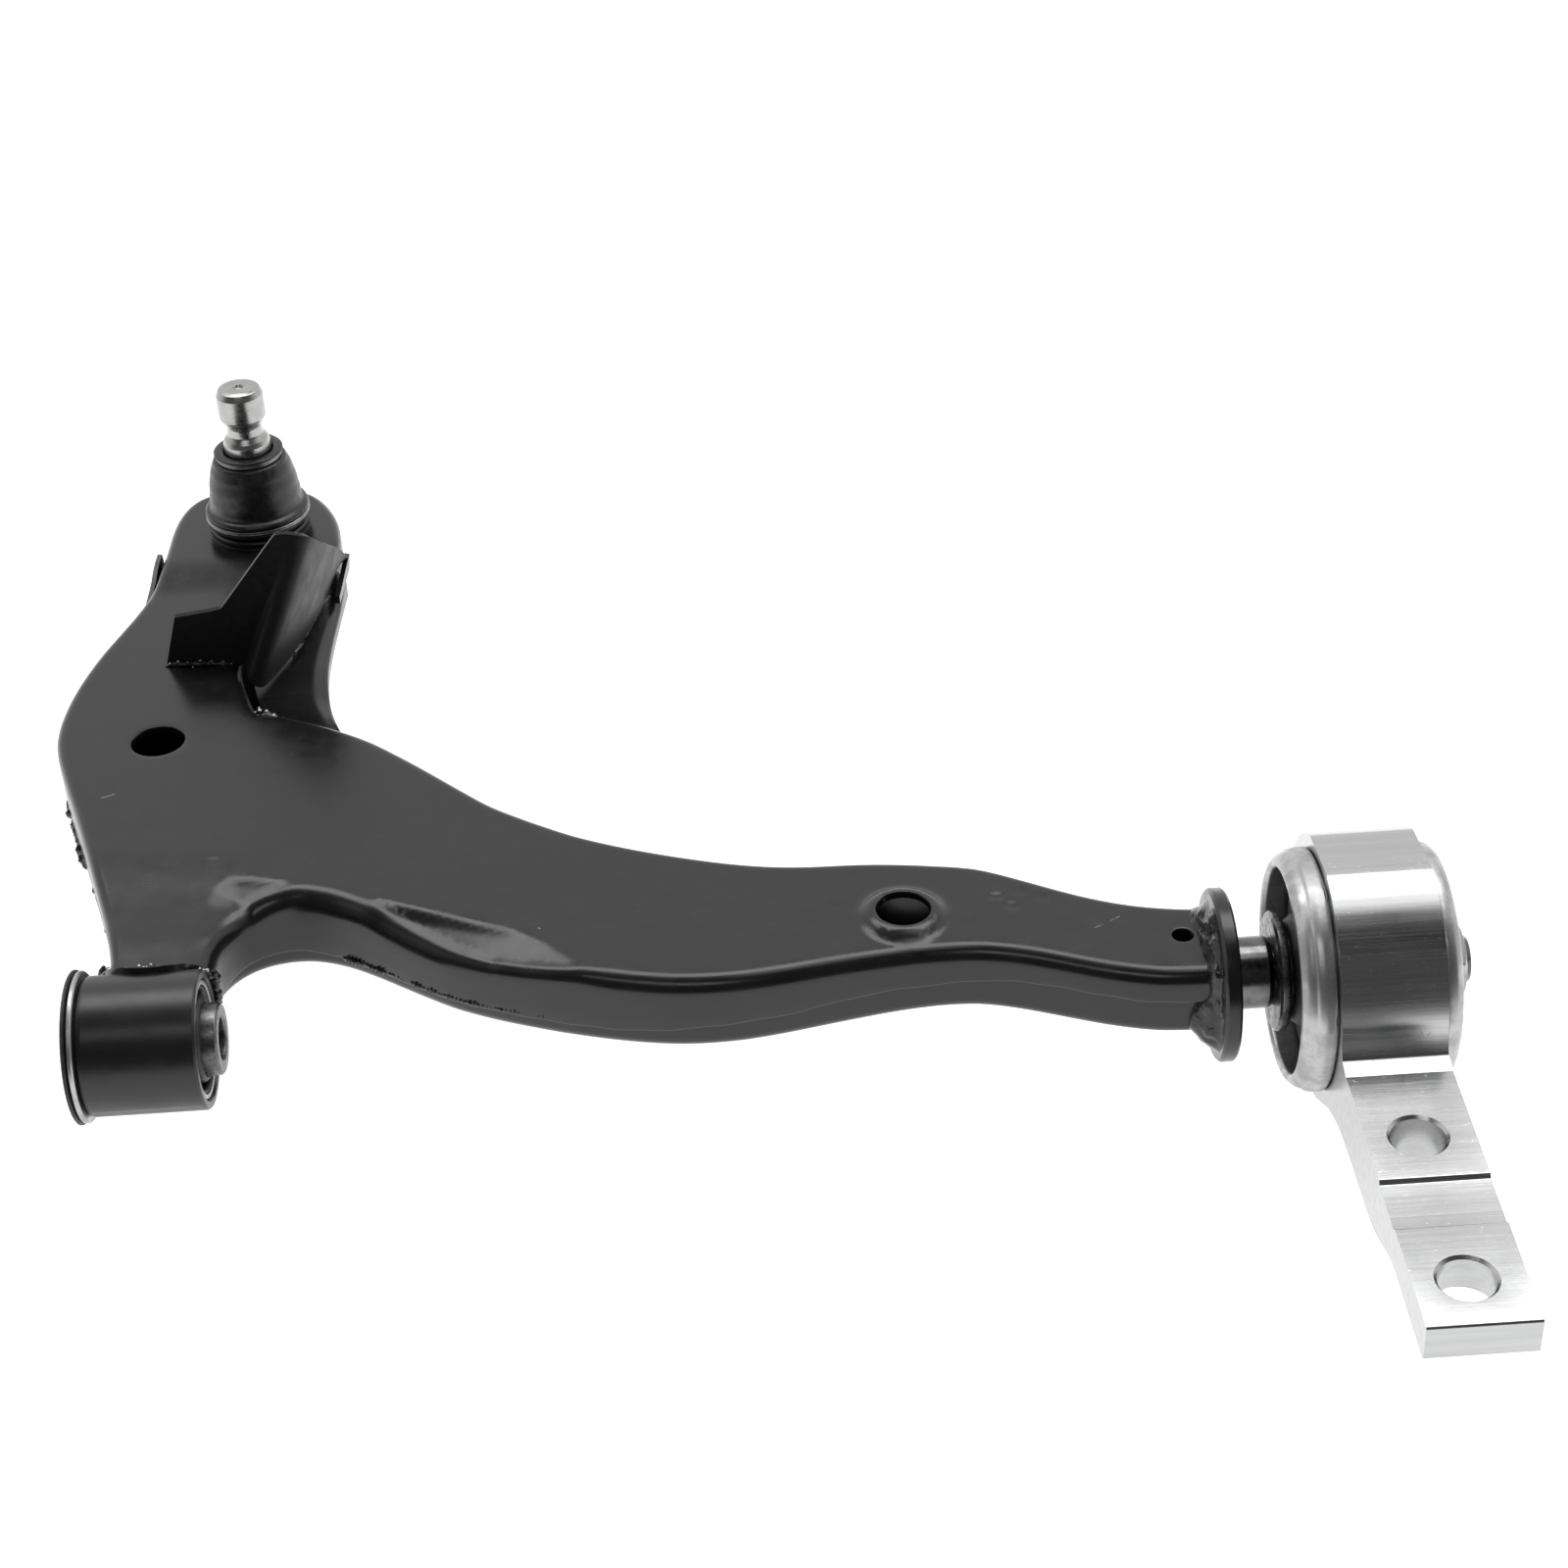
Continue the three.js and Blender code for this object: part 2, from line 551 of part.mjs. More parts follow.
add("front_bush_inner_sleeve", turnedX([
  [FRONT_BOLT_R, FRONT_INNER_X0], [FRONT_INNER_R - 0.7, FRONT_INNER_X0], [FRONT_INNER_R, FRONT_INNER_X0 + 0.7],
  [FRONT_INNER_R, FRONT_INNER_X1 - 0.7], [FRONT_INNER_R - 0.7, FRONT_INNER_X1], [FRONT_BOLT_R, FRONT_INNER_X1],
], 24), steel());

// ---- rear bush and bracket ----------------------------------------------------------------------------------
add("rear_bush_washer_front", turnedX([
  [SHANK_R + GAP, 375.4], [REAR_COLLAR_R - 0.8, 375.4], [REAR_COLLAR_R, 376.4], [REAR_COLLAR_R, 378.4],
  [REAR_COLLAR_R - 0.8, 379.2], [SHANK_R + GAP, 379.2],
], 24), steel());
add("rear_bush_inner_sleeve", turnedX([
  [SHANK_R + GAP, 379.5], [14, 379.5], [14, 428.2], [SHANK_R + GAP, 428.2],
], 24), steel());
add("rear_bush_rubber", turnedX([
  [14.3, 380.6], [17, 381], [21, 388], [27, 391], [32.5, 388.5], [REAR_SLEEVE_R - 2.3, 391], [REAR_SLEEVE_R - 2.3, 423],
  [33, 426], [27, 423], [21, 425], [17, 427.6], [14.3, 427.9],
], 28), rubber());
add("rear_bush_outer_sleeve", turnedX([
  [REAR_OPEN_R, 379.2], [REAR_OPEN_R + 1.8, 378.6], [39.6, 382], [REAR_LIP_R, 386.6], [REAR_LIP_R, BRACKET_X0 - 0.4],
  [REAR_SLEEVE_R, BRACKET_X0 - 0.4], [REAR_SLEEVE_R, BRACKET_X1 + 0.4], [REAR_LIP_R - 0.6, BRACKET_X1 + 0.4],
  [REAR_LIP_R - 0.4, BRACKET_X1 + 3], [38.6, BRACKET_X1 + 6.2], [36, BRACKET_X1 + 7],
  [35.8, BRACKET_X1 + 1], [REAR_SLEEVE_R - 2, BRACKET_X1 - 1], [REAR_SLEEVE_R - 2, BRACKET_X0 + 0.6],
], 32), steel());
add("rear_bush_washer_rear", turnedX([
  [SHANK_R + GAP, 428.5], [19, 428.5], [19.6, 429.1], [19.6, 430.9], [19, 431.5], [SHANK_R + GAP, 431.5],
], 24), steel());
const nutShape = new THREE.Shape();
for (let i = 0; i < 6; i += 1) {
  const a = (i * Math.PI) / 3;
  const p = [13.8 * Math.cos(a), 13.8 * Math.sin(a)];
  if (i === 0) nutShape.moveTo(...p);
  else nutShape.lineTo(...p);
}
nutShape.closePath();
const nutHole = new THREE.Path();
nutHole.absarc(0, 0, SHANK_R + GAP, 0, Math.PI * 2, true);
nutShape.holes.push(nutHole);
const nut = new THREE.ExtrudeGeometry(nutShape, { depth: 7.4, bevelEnabled: false, curveSegments: 16 });
nut.rotateY(Math.PI / 2);
nut.translate(431.8, 0, 0);
add("pin_nut", nut, steel());

// Extruded bracket: ring with a flat on top, thick lug reaching forward, shallow relief between the bolt pads.
function ringPoint(deg) {
  const a = (deg * Math.PI) / 180;
  return [RING_R * Math.cos(a), RING_R * Math.sin(a)];
}
const bracketOutline = [];
for (let d = 67; d >= -112; d -= 7.16) bracketOutline.push(ringPoint(d));
bracketOutline.push(
  [-27, -36.6], [-34, -32], [-43, -28], [-52, -26], [-66, -25], [-90, -24.4], [-100, -23.6], [-108, -21.4], [-116, -18],
  [-122, -15.8], [-130, LUG_BOTTOM], [LUG_END_Y + 1, LUG_BOTTOM], [LUG_END_Y, LUG_BOTTOM + 1], [LUG_END_Y, LUG_TOP - 1],
  [LUG_END_Y + 1, LUG_TOP], [-124.2, LUG_TOP], [-123, LUG_TOP - 2.2], [-103.6, LUG_TOP - 2.2], [-102.4, LUG_TOP],
  [-60, LUG_TOP], [-53, -0.6], [-50.4, 2.4], [-49.2, 6],
);
for (let d = 170; d > 99; d -= 8.9) bracketOutline.push(ringPoint(d));
bracketOutline.push(ringPoint(98.5));
bracketOutline.reverse();
const bracketShape = new THREE.Shape(bracketOutline.map(([y, z]) => new THREE.Vector2(y, z)));
const bore = new THREE.Path();
bore.absarc(0, 0, REAR_SLEEVE_R + GAP, 0, Math.PI * 2, true);
bracketShape.holes.push(bore);
const bracket = new THREE.ExtrudeGeometry(bracketShape, {
  depth: BRACKET_X1 - BRACKET_X0, bevelEnabled: false, curveSegments: 22,
});
bracket.applyMatrix4(new THREE.Matrix4().makeBasis(
  new THREE.Vector3(0, 1, 0),
  new THREE.Vector3(0, 0, 1),
  new THREE.Vector3(1, 0, 0),
));
bracket.translate(BRACKET_X0, 0, 0);
function lugCutter(y) {
  return turned([
    [0, -40], [LUG_HOLE_R, -40], [LUG_HOLE_R, LUG_TOP - 1], [LUG_HOLE_R + 5, LUG_TOP + 4], [0, LUG_TOP + 4],
  ], 28).translate(LUG_HOLE_X, y, 0);
}
add("rear_bracket", cut(bracket, lugCutter(LUG_HOLES_Y[0]), lugCutter(LUG_HOLES_Y[1])), alloy());

// ---- weld beads ---------------------------------------------------------------------------------------------
// A bead is a lumpy closed strip laid along a path in a corner between two pieces.
function bead(path, radius, squash, closed = false) {
  const curve = new THREE.CatmullRomCurve3(path.map((p) => new THREE.Vector3(...p)), closed, "centripetal");
  const s = new THREE.Shape();
  for (let i = 0; i < 7; i += 1) {
    const a = (i * Math.PI * 2) / 7;
    const p = [radius * Math.cos(a), radius * squash * Math.sin(a)];
    if (i === 0) s.moveTo(...p);
    else s.lineTo(...p);
  }
  s.closePath();
  return new THREE.ExtrudeGeometry(s, { steps: path.length * 2, extrudePath: curve, bevelEnabled: false });
}
add("weld_rear_flange", bead([
  [352, -21, 9], [352, -18.5, 17], [352, -8, 18.6], [352, 8, 18.6], [352, 20, 18], [352, 26.4, 10],
], 2.4, 1), paint());
add("weld_front_eye", bead([
  [-14, 17.8, 19.2], [-6, 18, 19], [2, 17.8, 19.2], [10, 18, 19], [18.5, 17.8, 19.2],
], 2, 1), paint());
add("weld_steering_stop", bead([
  [-17, 208.4, 19.2], [-11, 208.2, 19.2], [-4, 208.2, 19.2], [4, 207.8, 19.2],
], 1.8, 1), paint());

// ---- placement ----------------------------------------------------------------------------------------------
group.updateMatrixWorld(true);
const box = new THREE.Box3().setFromObject(group, true);
group.position.set(-(box.min.x + box.max.x) / 2, -(box.min.y + box.max.y) / 2, -box.min.z);
group.updateMatrixWorld(true);

export default group;
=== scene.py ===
import math

import bmesh
import bpy
import numpy as np
from mathutils import Matrix, Vector, noise
from mathutils.geometry import delaunay_2d_cdt


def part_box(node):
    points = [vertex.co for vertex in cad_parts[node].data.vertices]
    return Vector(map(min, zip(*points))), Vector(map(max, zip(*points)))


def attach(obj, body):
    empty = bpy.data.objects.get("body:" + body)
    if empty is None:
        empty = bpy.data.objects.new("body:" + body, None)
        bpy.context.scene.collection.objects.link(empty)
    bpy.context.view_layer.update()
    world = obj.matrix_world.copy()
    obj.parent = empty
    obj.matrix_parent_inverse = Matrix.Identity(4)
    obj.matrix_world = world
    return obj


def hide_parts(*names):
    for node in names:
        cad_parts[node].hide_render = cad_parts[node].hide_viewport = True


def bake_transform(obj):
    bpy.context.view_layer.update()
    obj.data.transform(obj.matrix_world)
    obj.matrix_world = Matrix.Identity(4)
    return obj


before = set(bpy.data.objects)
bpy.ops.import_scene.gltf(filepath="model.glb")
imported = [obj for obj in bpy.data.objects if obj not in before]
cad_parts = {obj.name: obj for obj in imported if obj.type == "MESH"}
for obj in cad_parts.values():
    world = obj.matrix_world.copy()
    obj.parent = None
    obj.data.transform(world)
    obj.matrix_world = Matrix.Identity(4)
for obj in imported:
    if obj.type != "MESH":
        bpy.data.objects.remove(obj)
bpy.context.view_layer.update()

MM = 0.001
SHEET = 2.7  # thickness of both shells

sleeve_low, sleeve_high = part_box("front_bush_inner_sleeve")
ORIGIN = np.array([
    sleeve_low.x + 26.0 * MM,
    (sleeve_low.y + sleeve_high.y) / 2,
    (sleeve_low.z + sleeve_high.z) / 2,
])


def place(points):
    """Arm-frame millimetres to row-frame metres."""
    return ORIGIN + np.asarray(points, float) * MM


# ---- small maths ---------------------------------------------------------------------------------
def smooth(a, b, x):
    """Rises smoothly from 0 at a to 1 at b."""
    t = np.clip((np.asarray(x, float) - a) / (b - a), 0.0, 1.0)
    return t * t * (3.0 - 2.0 * t)


def lumps(points, size, seed):
    """Smooth noise from -1 to 1 at each point; size is the width of a lump."""
    points = np.atleast_2d(np.asarray(points, float))
    shift = np.array([seed, 0.0, 0.0])
    return np.array([noise.noise(Vector(p / size + shift)) for p in points]) * 1.6


def resampled(points, step, closed=False):
    """Points about step apart along a line."""
    p = np.asarray(points, float)
    if closed:
        p = np.vstack([p, p[:1]])
    length = np.concatenate([[0], np.cumsum(np.linalg.norm(np.diff(p, axis=0), axis=1))])
    count = max(int(round(length[-1] / step)), 3)
    at = np.linspace(0, length[-1], count + 1)
    out = np.column_stack([np.interp(at, length, p[:, k]) for k in range(p.shape[1])])
    return out[:-1] if closed else out


def spline(points, step):
    """Even points on a centripetal Catmull-Rom curve through the given ones."""
    p = np.asarray(points, float)
    p = np.vstack([2 * p[0] - p[1], p, 2 * p[-1] - p[-2]])
    out = []
    for i in range(1, len(p) - 2):
        quad = p[i - 1:i + 3]
        knots = [0.0]
        for a, b in zip(quad[:-1], quad[1:]):
            knots.append(knots[-1] + max(np.linalg.norm(b - a), 1e-6) ** 0.5)
        for s in np.linspace(knots[1], knots[2], 12, endpoint=False):
            row = list(quad)
            for level in range(1, 4):
                row = [
                    row[j] + (row[j + 1] - row[j]) * (s - knots[j]) / (knots[j + level] - knots[j])
                    for j in range(len(row) - 1)
                ]
            out.append(row[0])
    out.append(p[-2])
    return resampled(out, step)


def rounded(profile, radius=0.5, closed=True, steps=4):
    """The same corner list with every corner rounded; an entry's third value is its own radius."""
    flat = [np.array(q[:2], float) for q in profile]
    n = len(flat)
    out = []
    for i, corner in enumerate(flat):
        if not closed and i in (0, n - 1):
            out.append(corner)
            continue
        before, after = flat[i - 1], flat[(i + 1) % n]
        r = profile[i][2] if len(profile[i]) > 2 else radius
        d0, d1 = before - corner, after - corner
        l0, l1 = np.linalg.norm(d0), np.linalg.norm(d1)
        if min(l0, l1) < 1e-6 or r <= 0:
            out.append(corner)
            continue
        d0, d1 = d0 / l0, d1 / l1
        angle = math.acos(float(np.clip(d0 @ d1, -1, 1)))
        if angle > math.pi - 0.05:
            out.append(corner)
            continue
        cut = min(r / math.tan(angle / 2), 0.45 * l0, 0.45 * l1)
        a, b = corner + d0 * cut, corner + d1 * cut
        for k in range(steps + 1):
            t = k / steps
            out.append((1 - t) ** 2 * a + 2 * t * (1 - t) * corner + t * t * b)
    return np.array(out)


def inside(points, outline):
    """Which points lie inside a closed outline."""
    x, y = points[:, 0], points[:, 1]
    hit = np.zeros(len(points), bool)
    j = len(outline) - 1
    for i in range(len(outline)):
        xi, yi = outline[i]
        xj, yj = outline[j]
        if yi != yj:
            hit ^= ((yi > y) != (yj > y)) & (x < (xj - xi) * (y - yi) / (yj - yi) + xi)
        j = i
    return hit


def line_distance(points, line):
    """Distance to a polyline, positive on its right-hand side, and the place along it from 0 to 1."""
    best = np.full(len(points), 1e9)
    side = np.ones(len(points))
    along = np.zeros(len(points))
    total = len(line) - 1
    for i in range(total):
        a, b = line[i], line[i + 1]
        d = b - a
        t = np.clip(((points - a) @ d) / (d @ d), 0, 1)
        gap = points - (a + t[:, None] * d)
        dist = np.hypot(gap[:, 0], gap[:, 1])
        near = dist < best
        best = np.where(near, dist, best)
        cross = d[0] * (points[:, 1] - a[1]) - d[1] * (points[:, 0] - a[0])
        side = np.where(near, -np.sign(cross), side)
        along = np.where(near, (i + t) / total, along)
    return best * side, along


# ---- meshes --------------------------------------------------------------------------------------
def new_piece(name, verts, faces, material, body=None, slot=None, stands_for=(), crease=38):
    """A mesh object from arm-frame points, tied to its body, with the nodes it stands for hidden; slot
    is not used.
    """
    mesh = bpy.data.meshes.new(name)
    mesh.from_pydata([tuple(v) for v in place(verts)], [], [tuple(int(i) for i in f) for f in faces])
    mesh.validate()
    mesh.update()
    for polygon in mesh.polygons:
        polygon.use_smooth = True
    mesh.set_sharp_from_angle(angle=math.radians(crease))
    piece = bpy.data.objects.new(name, mesh)
    bpy.context.scene.collection.objects.link(piece)
    mesh.materials.append(material)
    if body:
        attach(piece, body)
    if stands_for:
        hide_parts(*stands_for)
    return piece


def edge_bevel(piece, width, angle):
    """Rounds every edge sharper than angle degrees by width millimetres."""
    bevel = piece.modifiers.new("edge", "BEVEL")
    bevel.width = width * MM
    bevel.segments = 2
    bevel.limit_method = "ANGLE"
    bevel.angle_limit = math.radians(angle)
    bevel.harden_normals = True


def vertex_normals(verts, faces):
    """Unit normals at the points, averaged by the area of the faces around them."""
    verts = np.asarray(verts, float)
    normals = np.zeros_like(verts)
    for f in faces:
        a, b, c = verts[f[0]], verts[f[1]], verts[f[2]]
        n = np.cross(b - a, c - a)
        if len(f) == 4:
            d = verts[f[3]]
            n = n + np.cross(c - a, d - a)
        for i in f:
            normals[i] += n
    length = np.linalg.norm(normals, axis=1)
    return normals / np.maximum(length, 1e-9)[:, None]


def open_edges(faces):
    """Edges that belong to one face only, each in that face's direction."""
    edges = {(f[k], f[(k + 1) % len(f)]): True for f in faces for k in range(len(f))}
    return [(a, b) for a, b in edges if (b, a) not in edges]


def thickened(verts, faces, thickness):
    """A sheet given by its outer skin becomes a closed body that grows against the skin's normals."""
    verts = np.asarray(verts, float)
    n = len(verts)
    inner = verts - vertex_normals(verts, faces) * thickness
    out = list(faces) + [[i + n for i in reversed(f)] for f in faces]
    out += [[b, a, a + n, b + n] for a, b in open_edges(faces)]
    if thickness < 0:
        out = backwards(out)
    return np.vstack([verts, inner]), out


def backwards(faces):
    """The same faces looking the other way."""
    return [list(reversed(f)) for f in faces]


def signed_area(loop):
    """Twice the area inside a closed loop, positive when it runs anticlockwise."""
    x, y = loop[:, 0], loop[:, 1]
    return np.sum(x * np.roll(y, -1) - np.roll(x, -1) * y)


def grid_faces(rows, columns, wrap=False):
    """Quads between the points of a grid; wrap joins the last column to the first."""
    out = []
    last = columns if wrap else columns - 1
    for i in range(rows - 1):
        for j in range(last):
            k = (j + 1) % columns
            a, b = i * columns + j, i * columns + k
            out.append([a, b, b + columns, a + columns])
    return out


def turned(profile, centre=(0, 0, 0), axis="Z", segments=96, shape=None):
    """Closed body of revolution. Profile is [radius, height] points; ends on the axis are closed to a
    point. shape(radius, height, angle) may return changed radius and height arrays."""
    profile = np.asarray(profile, float)
    n = len(profile)
    angle = np.linspace(0, 2 * math.pi, segments, endpoint=False)
    radius = np.repeat(profile[:, 0][:, None], segments, 1)
    height = np.repeat(profile[:, 1][:, None], segments, 1)
    if shape:
        radius, height = shape(radius, height, angle[None, :])
    if axis == "Z":
        verts = np.stack([radius * np.cos(angle), radius * np.sin(angle), height], -1)
    else:
        verts = np.stack([height, radius * np.cos(angle), radius * np.sin(angle)], -1)
    verts = verts.reshape(-1, 3) + np.array(centre)
    faces = []
    for i in range(n):
        k = (i + 1) % n
        if profile[i, 0] < 1e-6 and profile[k, 0] < 1e-6:
            continue
        for j in range(segments):
            m = (j + 1) % segments
            quad = [i * segments + j, i * segments + m, k * segments + m, k * segments + j]
            if profile[i, 0] < 1e-6:
                quad = [i * segments, k * segments + m, k * segments + j]
            elif profile[k, 0] < 1e-6:
                quad = [i * segments + j, i * segments + m, k * segments]
            faces.append(quad)
    if signed_area(profile) < 0:
        faces = backwards(faces)
    return compact(verts, faces)


def turned_piece(name, profile, look, body, slot, node, centre=None, segments=96, shape=None,
                 crease=38):
    """A body of revolution that stands for one node: upright on centre, or along the pivot axis."""
    axis = "X" if centre is None else "Z"
    mesh = turned(profile, (0, 0, 0) if centre is None else centre, axis, segments, shape)
    new_piece(name, *mesh, MATERIALS[look], body, slot, [node], crease)


def compact(verts, faces):
    """The mesh without the points that no face uses."""
    used = sorted({i for f in faces for i in f})
    where = {old: new for new, old in enumerate(used)}
    return np.asarray(verts)[used], [[where[i] for i in f] for f in faces]


def joined(*bodies):
    """Several meshes as one."""
    verts, faces, start = [], [], 0
    for v, f in bodies:
        verts.append(np.asarray(v, float))
        faces += [[i + start for i in face] for face in f]
        start += len(v)
    return np.vstack(verts), faces


def filled(outline, holes, spacing, margin):
    """Triangles that fill a closed outline around its holes, with evenly spread points between them."""
    low, high = outline.min(0), outline.max(0)
    rows = []
    y, shift = low[1], 0.0
    while y < high[1]:
        x = np.arange(low[0] + shift, high[0], spacing)
        rows.append(np.column_stack([x, np.full(len(x), y)]))
        y += spacing * 0.866
        shift = spacing / 2 - shift
    grid = np.vstack(rows)
    grid = grid[inside(grid, outline)]
    ring = np.vstack([outline, outline[:1]])
    grid = grid[np.abs(line_distance(grid, ring)[0]) > margin]
    for hole in holes:
        centre = hole.mean(0)
        reach = np.linalg.norm(hole - centre, axis=1).max() + margin
        grid = grid[np.linalg.norm(grid - centre, axis=1) > reach]
    points, edges = [outline], []
    start = 0
    for loop in [outline, *holes]:
        edges += [(start + i, start + (i + 1) % len(loop)) for i in range(len(loop))]
        start += len(loop)
    points += [*holes, grid]
    points = np.vstack(points)
    found = delaunay_2d_cdt([Vector(p) for p in points], edges, [], 0, 1e-4)
    verts = np.array([tuple(v) for v in found[0]])
    faces = [list(f) for f in found[2]]
    middle = np.array([verts[f].mean(0) for f in faces])
    keep = inside(middle, outline)
    for hole in holes:
        keep &= ~inside(middle, hole)
    faces = [f for f, k in zip(faces, keep) if k]
    out = []
    for f in faces:
        a, b, c = verts[f[0]], verts[f[1]], verts[f[2]]
        turn = (b[0] - a[0]) * (c[1] - a[1]) - (b[1] - a[1]) * (c[0] - a[0])
        out.append(f if turn > 0 else list(reversed(f)))
    return verts, out


def circle(radius, x, y, count):
    a = np.linspace(0, 2 * math.pi, count, endpoint=False)
    return np.column_stack([x + radius * np.cos(a), y + radius * np.sin(a)])


def pressed_sheet(edge, level, foot, corner, side, holes, spacing=2.1):
    """A pressed sheet: face at level, rounded edge and a wall down (side 1) or up (side -1) to foot.
    edge is an open line; a straight open end joins its two ends. The sheet has no thickness yet."""
    tangent = np.gradient(edge, axis=0)
    tangent /= np.linalg.norm(tangent, axis=1)[:, None]
    normal = np.column_stack([-tangent[:, 1], tangent[:, 0]])
    anticlockwise = signed_area(edge) > 0
    if not anticlockwise:
        normal = -normal
    radius = corner(edge[:, 0], edge[:, 1])
    base = edge + normal * radius[:, None]
    bottom = foot(edge[:, 0], edge[:, 1])
    shoulder = level(base[:, 0], base[:, 1]) - side * radius
    rings = [
        np.column_stack([edge + normal * inset, bottom + side * rise])
        for inset, rise in ((0.5, 0.0), (0.12, 0.35), (0.0, 0.9))
    ]
    for f in (0.35, 0.7):
        z = bottom + side * 0.9 + (shoulder - bottom - side * 0.9) * f
        rings.append(np.column_stack([edge, z]))
    for k in range(9):
        a = math.pi / 2 * k / 8
        inset = radius * (1 - math.cos(a))
        z = shoulder + side * radius * math.sin(a)
        rings.append(np.column_stack([edge + normal * inset[:, None], z]))
    columns = len(edge)
    verts = np.vstack(rings)
    faces = grid_faces(len(rings), columns)
    outline = rings[-1][:, :2]
    rims = [circle(h[2] + 0.9, h[0], h[1], 64) for h in holes]
    flat, tris = filled(outline, rims, spacing, spacing * 0.55)
    z = level(flat[:, 0], flat[:, 1])
    last = (len(rings) - 1) * columns
    start = len(verts)
    remap = [last + i if i < columns else start + i - columns for i in range(len(flat))]
    verts = np.vstack([verts, np.column_stack([flat[columns:], z[columns:]])])
    tris = [[remap[i] for i in f] for f in tris]
    if side < 0:
        tris = backwards(tris)
    if (side > 0) != anticlockwise:
        faces = backwards(faces)
    faces += tris
    cursor = columns
    for rim, hole in zip(rims, holes):
        count = len(rim)
        above = [remap[cursor + i] for i in range(count)]
        cursor += count
        for grow, drop in ((0.35, 0.12), (0.08, 0.45), (0.0, 1.0), (0.0, SHEET)):
            loop = circle(hole[2] + grow, hole[0], hole[1], count)
            h = level(loop[:, 0], loop[:, 1]) - side * drop
            first = len(verts)
            verts = np.vstack([verts, np.column_stack([loop, h])])
            for i in range(count):
                k = (i + 1) % count
                quad = [above[i], above[k], first + k, first + i]
                faces.append(quad if side > 0 else list(reversed(quad)))
            above = [first + i for i in range(count)]
    return verts, faces


def bead(name, node, radius, seed, ripple, rough, path):
    """A lumpy weld bead laid along a path, with tapered ends."""
    step, squash = 0.8, 0.8
    line = spline(path, step)
    n = len(line)
    tangent = np.gradient(line, axis=0)
    tangent /= np.linalg.norm(tangent, axis=1)[:, None]
    up = np.array([0.05, 0.1, 1.0])
    across = np.cross(tangent, up)
    across /= np.linalg.norm(across, axis=1)[:, None]
    lift = np.cross(across, tangent)
    around = 18
    angle = np.linspace(0, 2 * math.pi, around, endpoint=False)
    along = np.arange(n) * step
    end = np.minimum(along, along[-1] - along)
    taper = np.sqrt(np.clip(end / (radius * 1.4), 0.03, 1.0))
    wave = 1 + ripple * np.sin(along * 2 * math.pi / (radius * 1.15) + seed)
    wide = radius * taper * wave * (1 + rough * lumps(line, radius * 2.6, seed))
    ring = []
    for i in range(n):
        for a in angle:
            out = across[i] * math.cos(a) + lift[i] * math.sin(a) * squash
            ring.append(line[i] + out * wide[i])
    ring = np.array(ring)
    centre = np.repeat(line, around, 0)
    away = ring - centre
    away /= np.maximum(np.linalg.norm(away, axis=1), 1e-6)[:, None]
    ring += away * (lumps(ring, radius * 0.9, seed + 7) * radius * 0.16)[:, None]
    faces = grid_faces(n, around, wrap=True)
    faces.append(list(range(around)))
    faces.append(list(reversed(range((n - 1) * around, n * around))))
    new_piece(name, ring, backwards(faces), MATERIALS["weld"], "arm", "weld_paint", node, crease=70)


def spatter(name, spots, seed):
    """Little frozen drops of weld metal: x, y, z and radius of each."""
    bodies = []
    for k, (x, y, z, r) in enumerate(spots):
        rows, around = 6, 10
        verts = []
        for i in range(1, rows):
            a = math.pi * i / rows
            for j in range(around):
                b = 2 * math.pi * j / around
                verts.append([math.sin(a) * math.cos(b), math.sin(a) * math.sin(b), math.cos(a) * 0.7])
        verts = [[0, 0, 0.7], *verts, [0, 0, -0.7]]
        verts = np.array(verts)
        verts *= (1 + 0.3 * lumps(verts, 0.9, seed + k * 3.7))[:, None]
        faces = []
        for j in range(around):
            m = (j + 1) % around
            faces.append([0, 1 + j, 1 + m])
            for i in range(rows - 2):
                a, b = 1 + i * around + j, 1 + i * around + m
                faces.append([a, a + around, b + around, b])
            tail = 1 + (rows - 2) * around
            faces.append([tail + m, tail + j, len(verts) - 1])
        bodies.append((verts * r + np.array([x, y, z]), faces))
    new_piece(name, *joined(*bodies), MATERIALS["specks"], "arm", "weld_paint", crease=80)


# ---- materials ----------------------------------------------------------------------------------
class Tree:
    """A short way to add nodes to a node tree and link them."""

    def __init__(self, tree):
        self.tree = tree

    def node(self, kind, **settings):
        made = self.tree.nodes.new(kind)
        for key, value in settings.items():
            setattr(made, key, value)
        return made

    def link(self, a, b):
        self.tree.links.new(a, b)

    def ramp(self, value, low, high, a, b, curve="SMOOTHSTEP"):
        """Value from low..high mapped to a..b and held there outside."""
        made = self.node("ShaderNodeMapRange", interpolation_type=curve)
        self.link(value, made.inputs["Value"])
        for key, number in (("From Min", low), ("From Max", high), ("To Min", a), ("To Max", b)):
            made.inputs[key].default_value = number
        return made.outputs["Result"]

    def along(self, coordinates, axis):
        """One axis of the given texture coordinates."""
        parts = self.node("ShaderNodeSeparateXYZ")
        self.link(self.node("ShaderNodeTexCoord").outputs[coordinates], parts.inputs[0])
        return parts.outputs[axis]

    def seen_by_camera(self):
        return self.node("ShaderNodeLightPath").outputs["Is Camera Ray"]

    def maths(self, operation, a, b):
        made = self.node("ShaderNodeMath", operation=operation)
        self.link(a, made.inputs[0])
        self.link(b, made.inputs[1])
        return made.outputs[0]


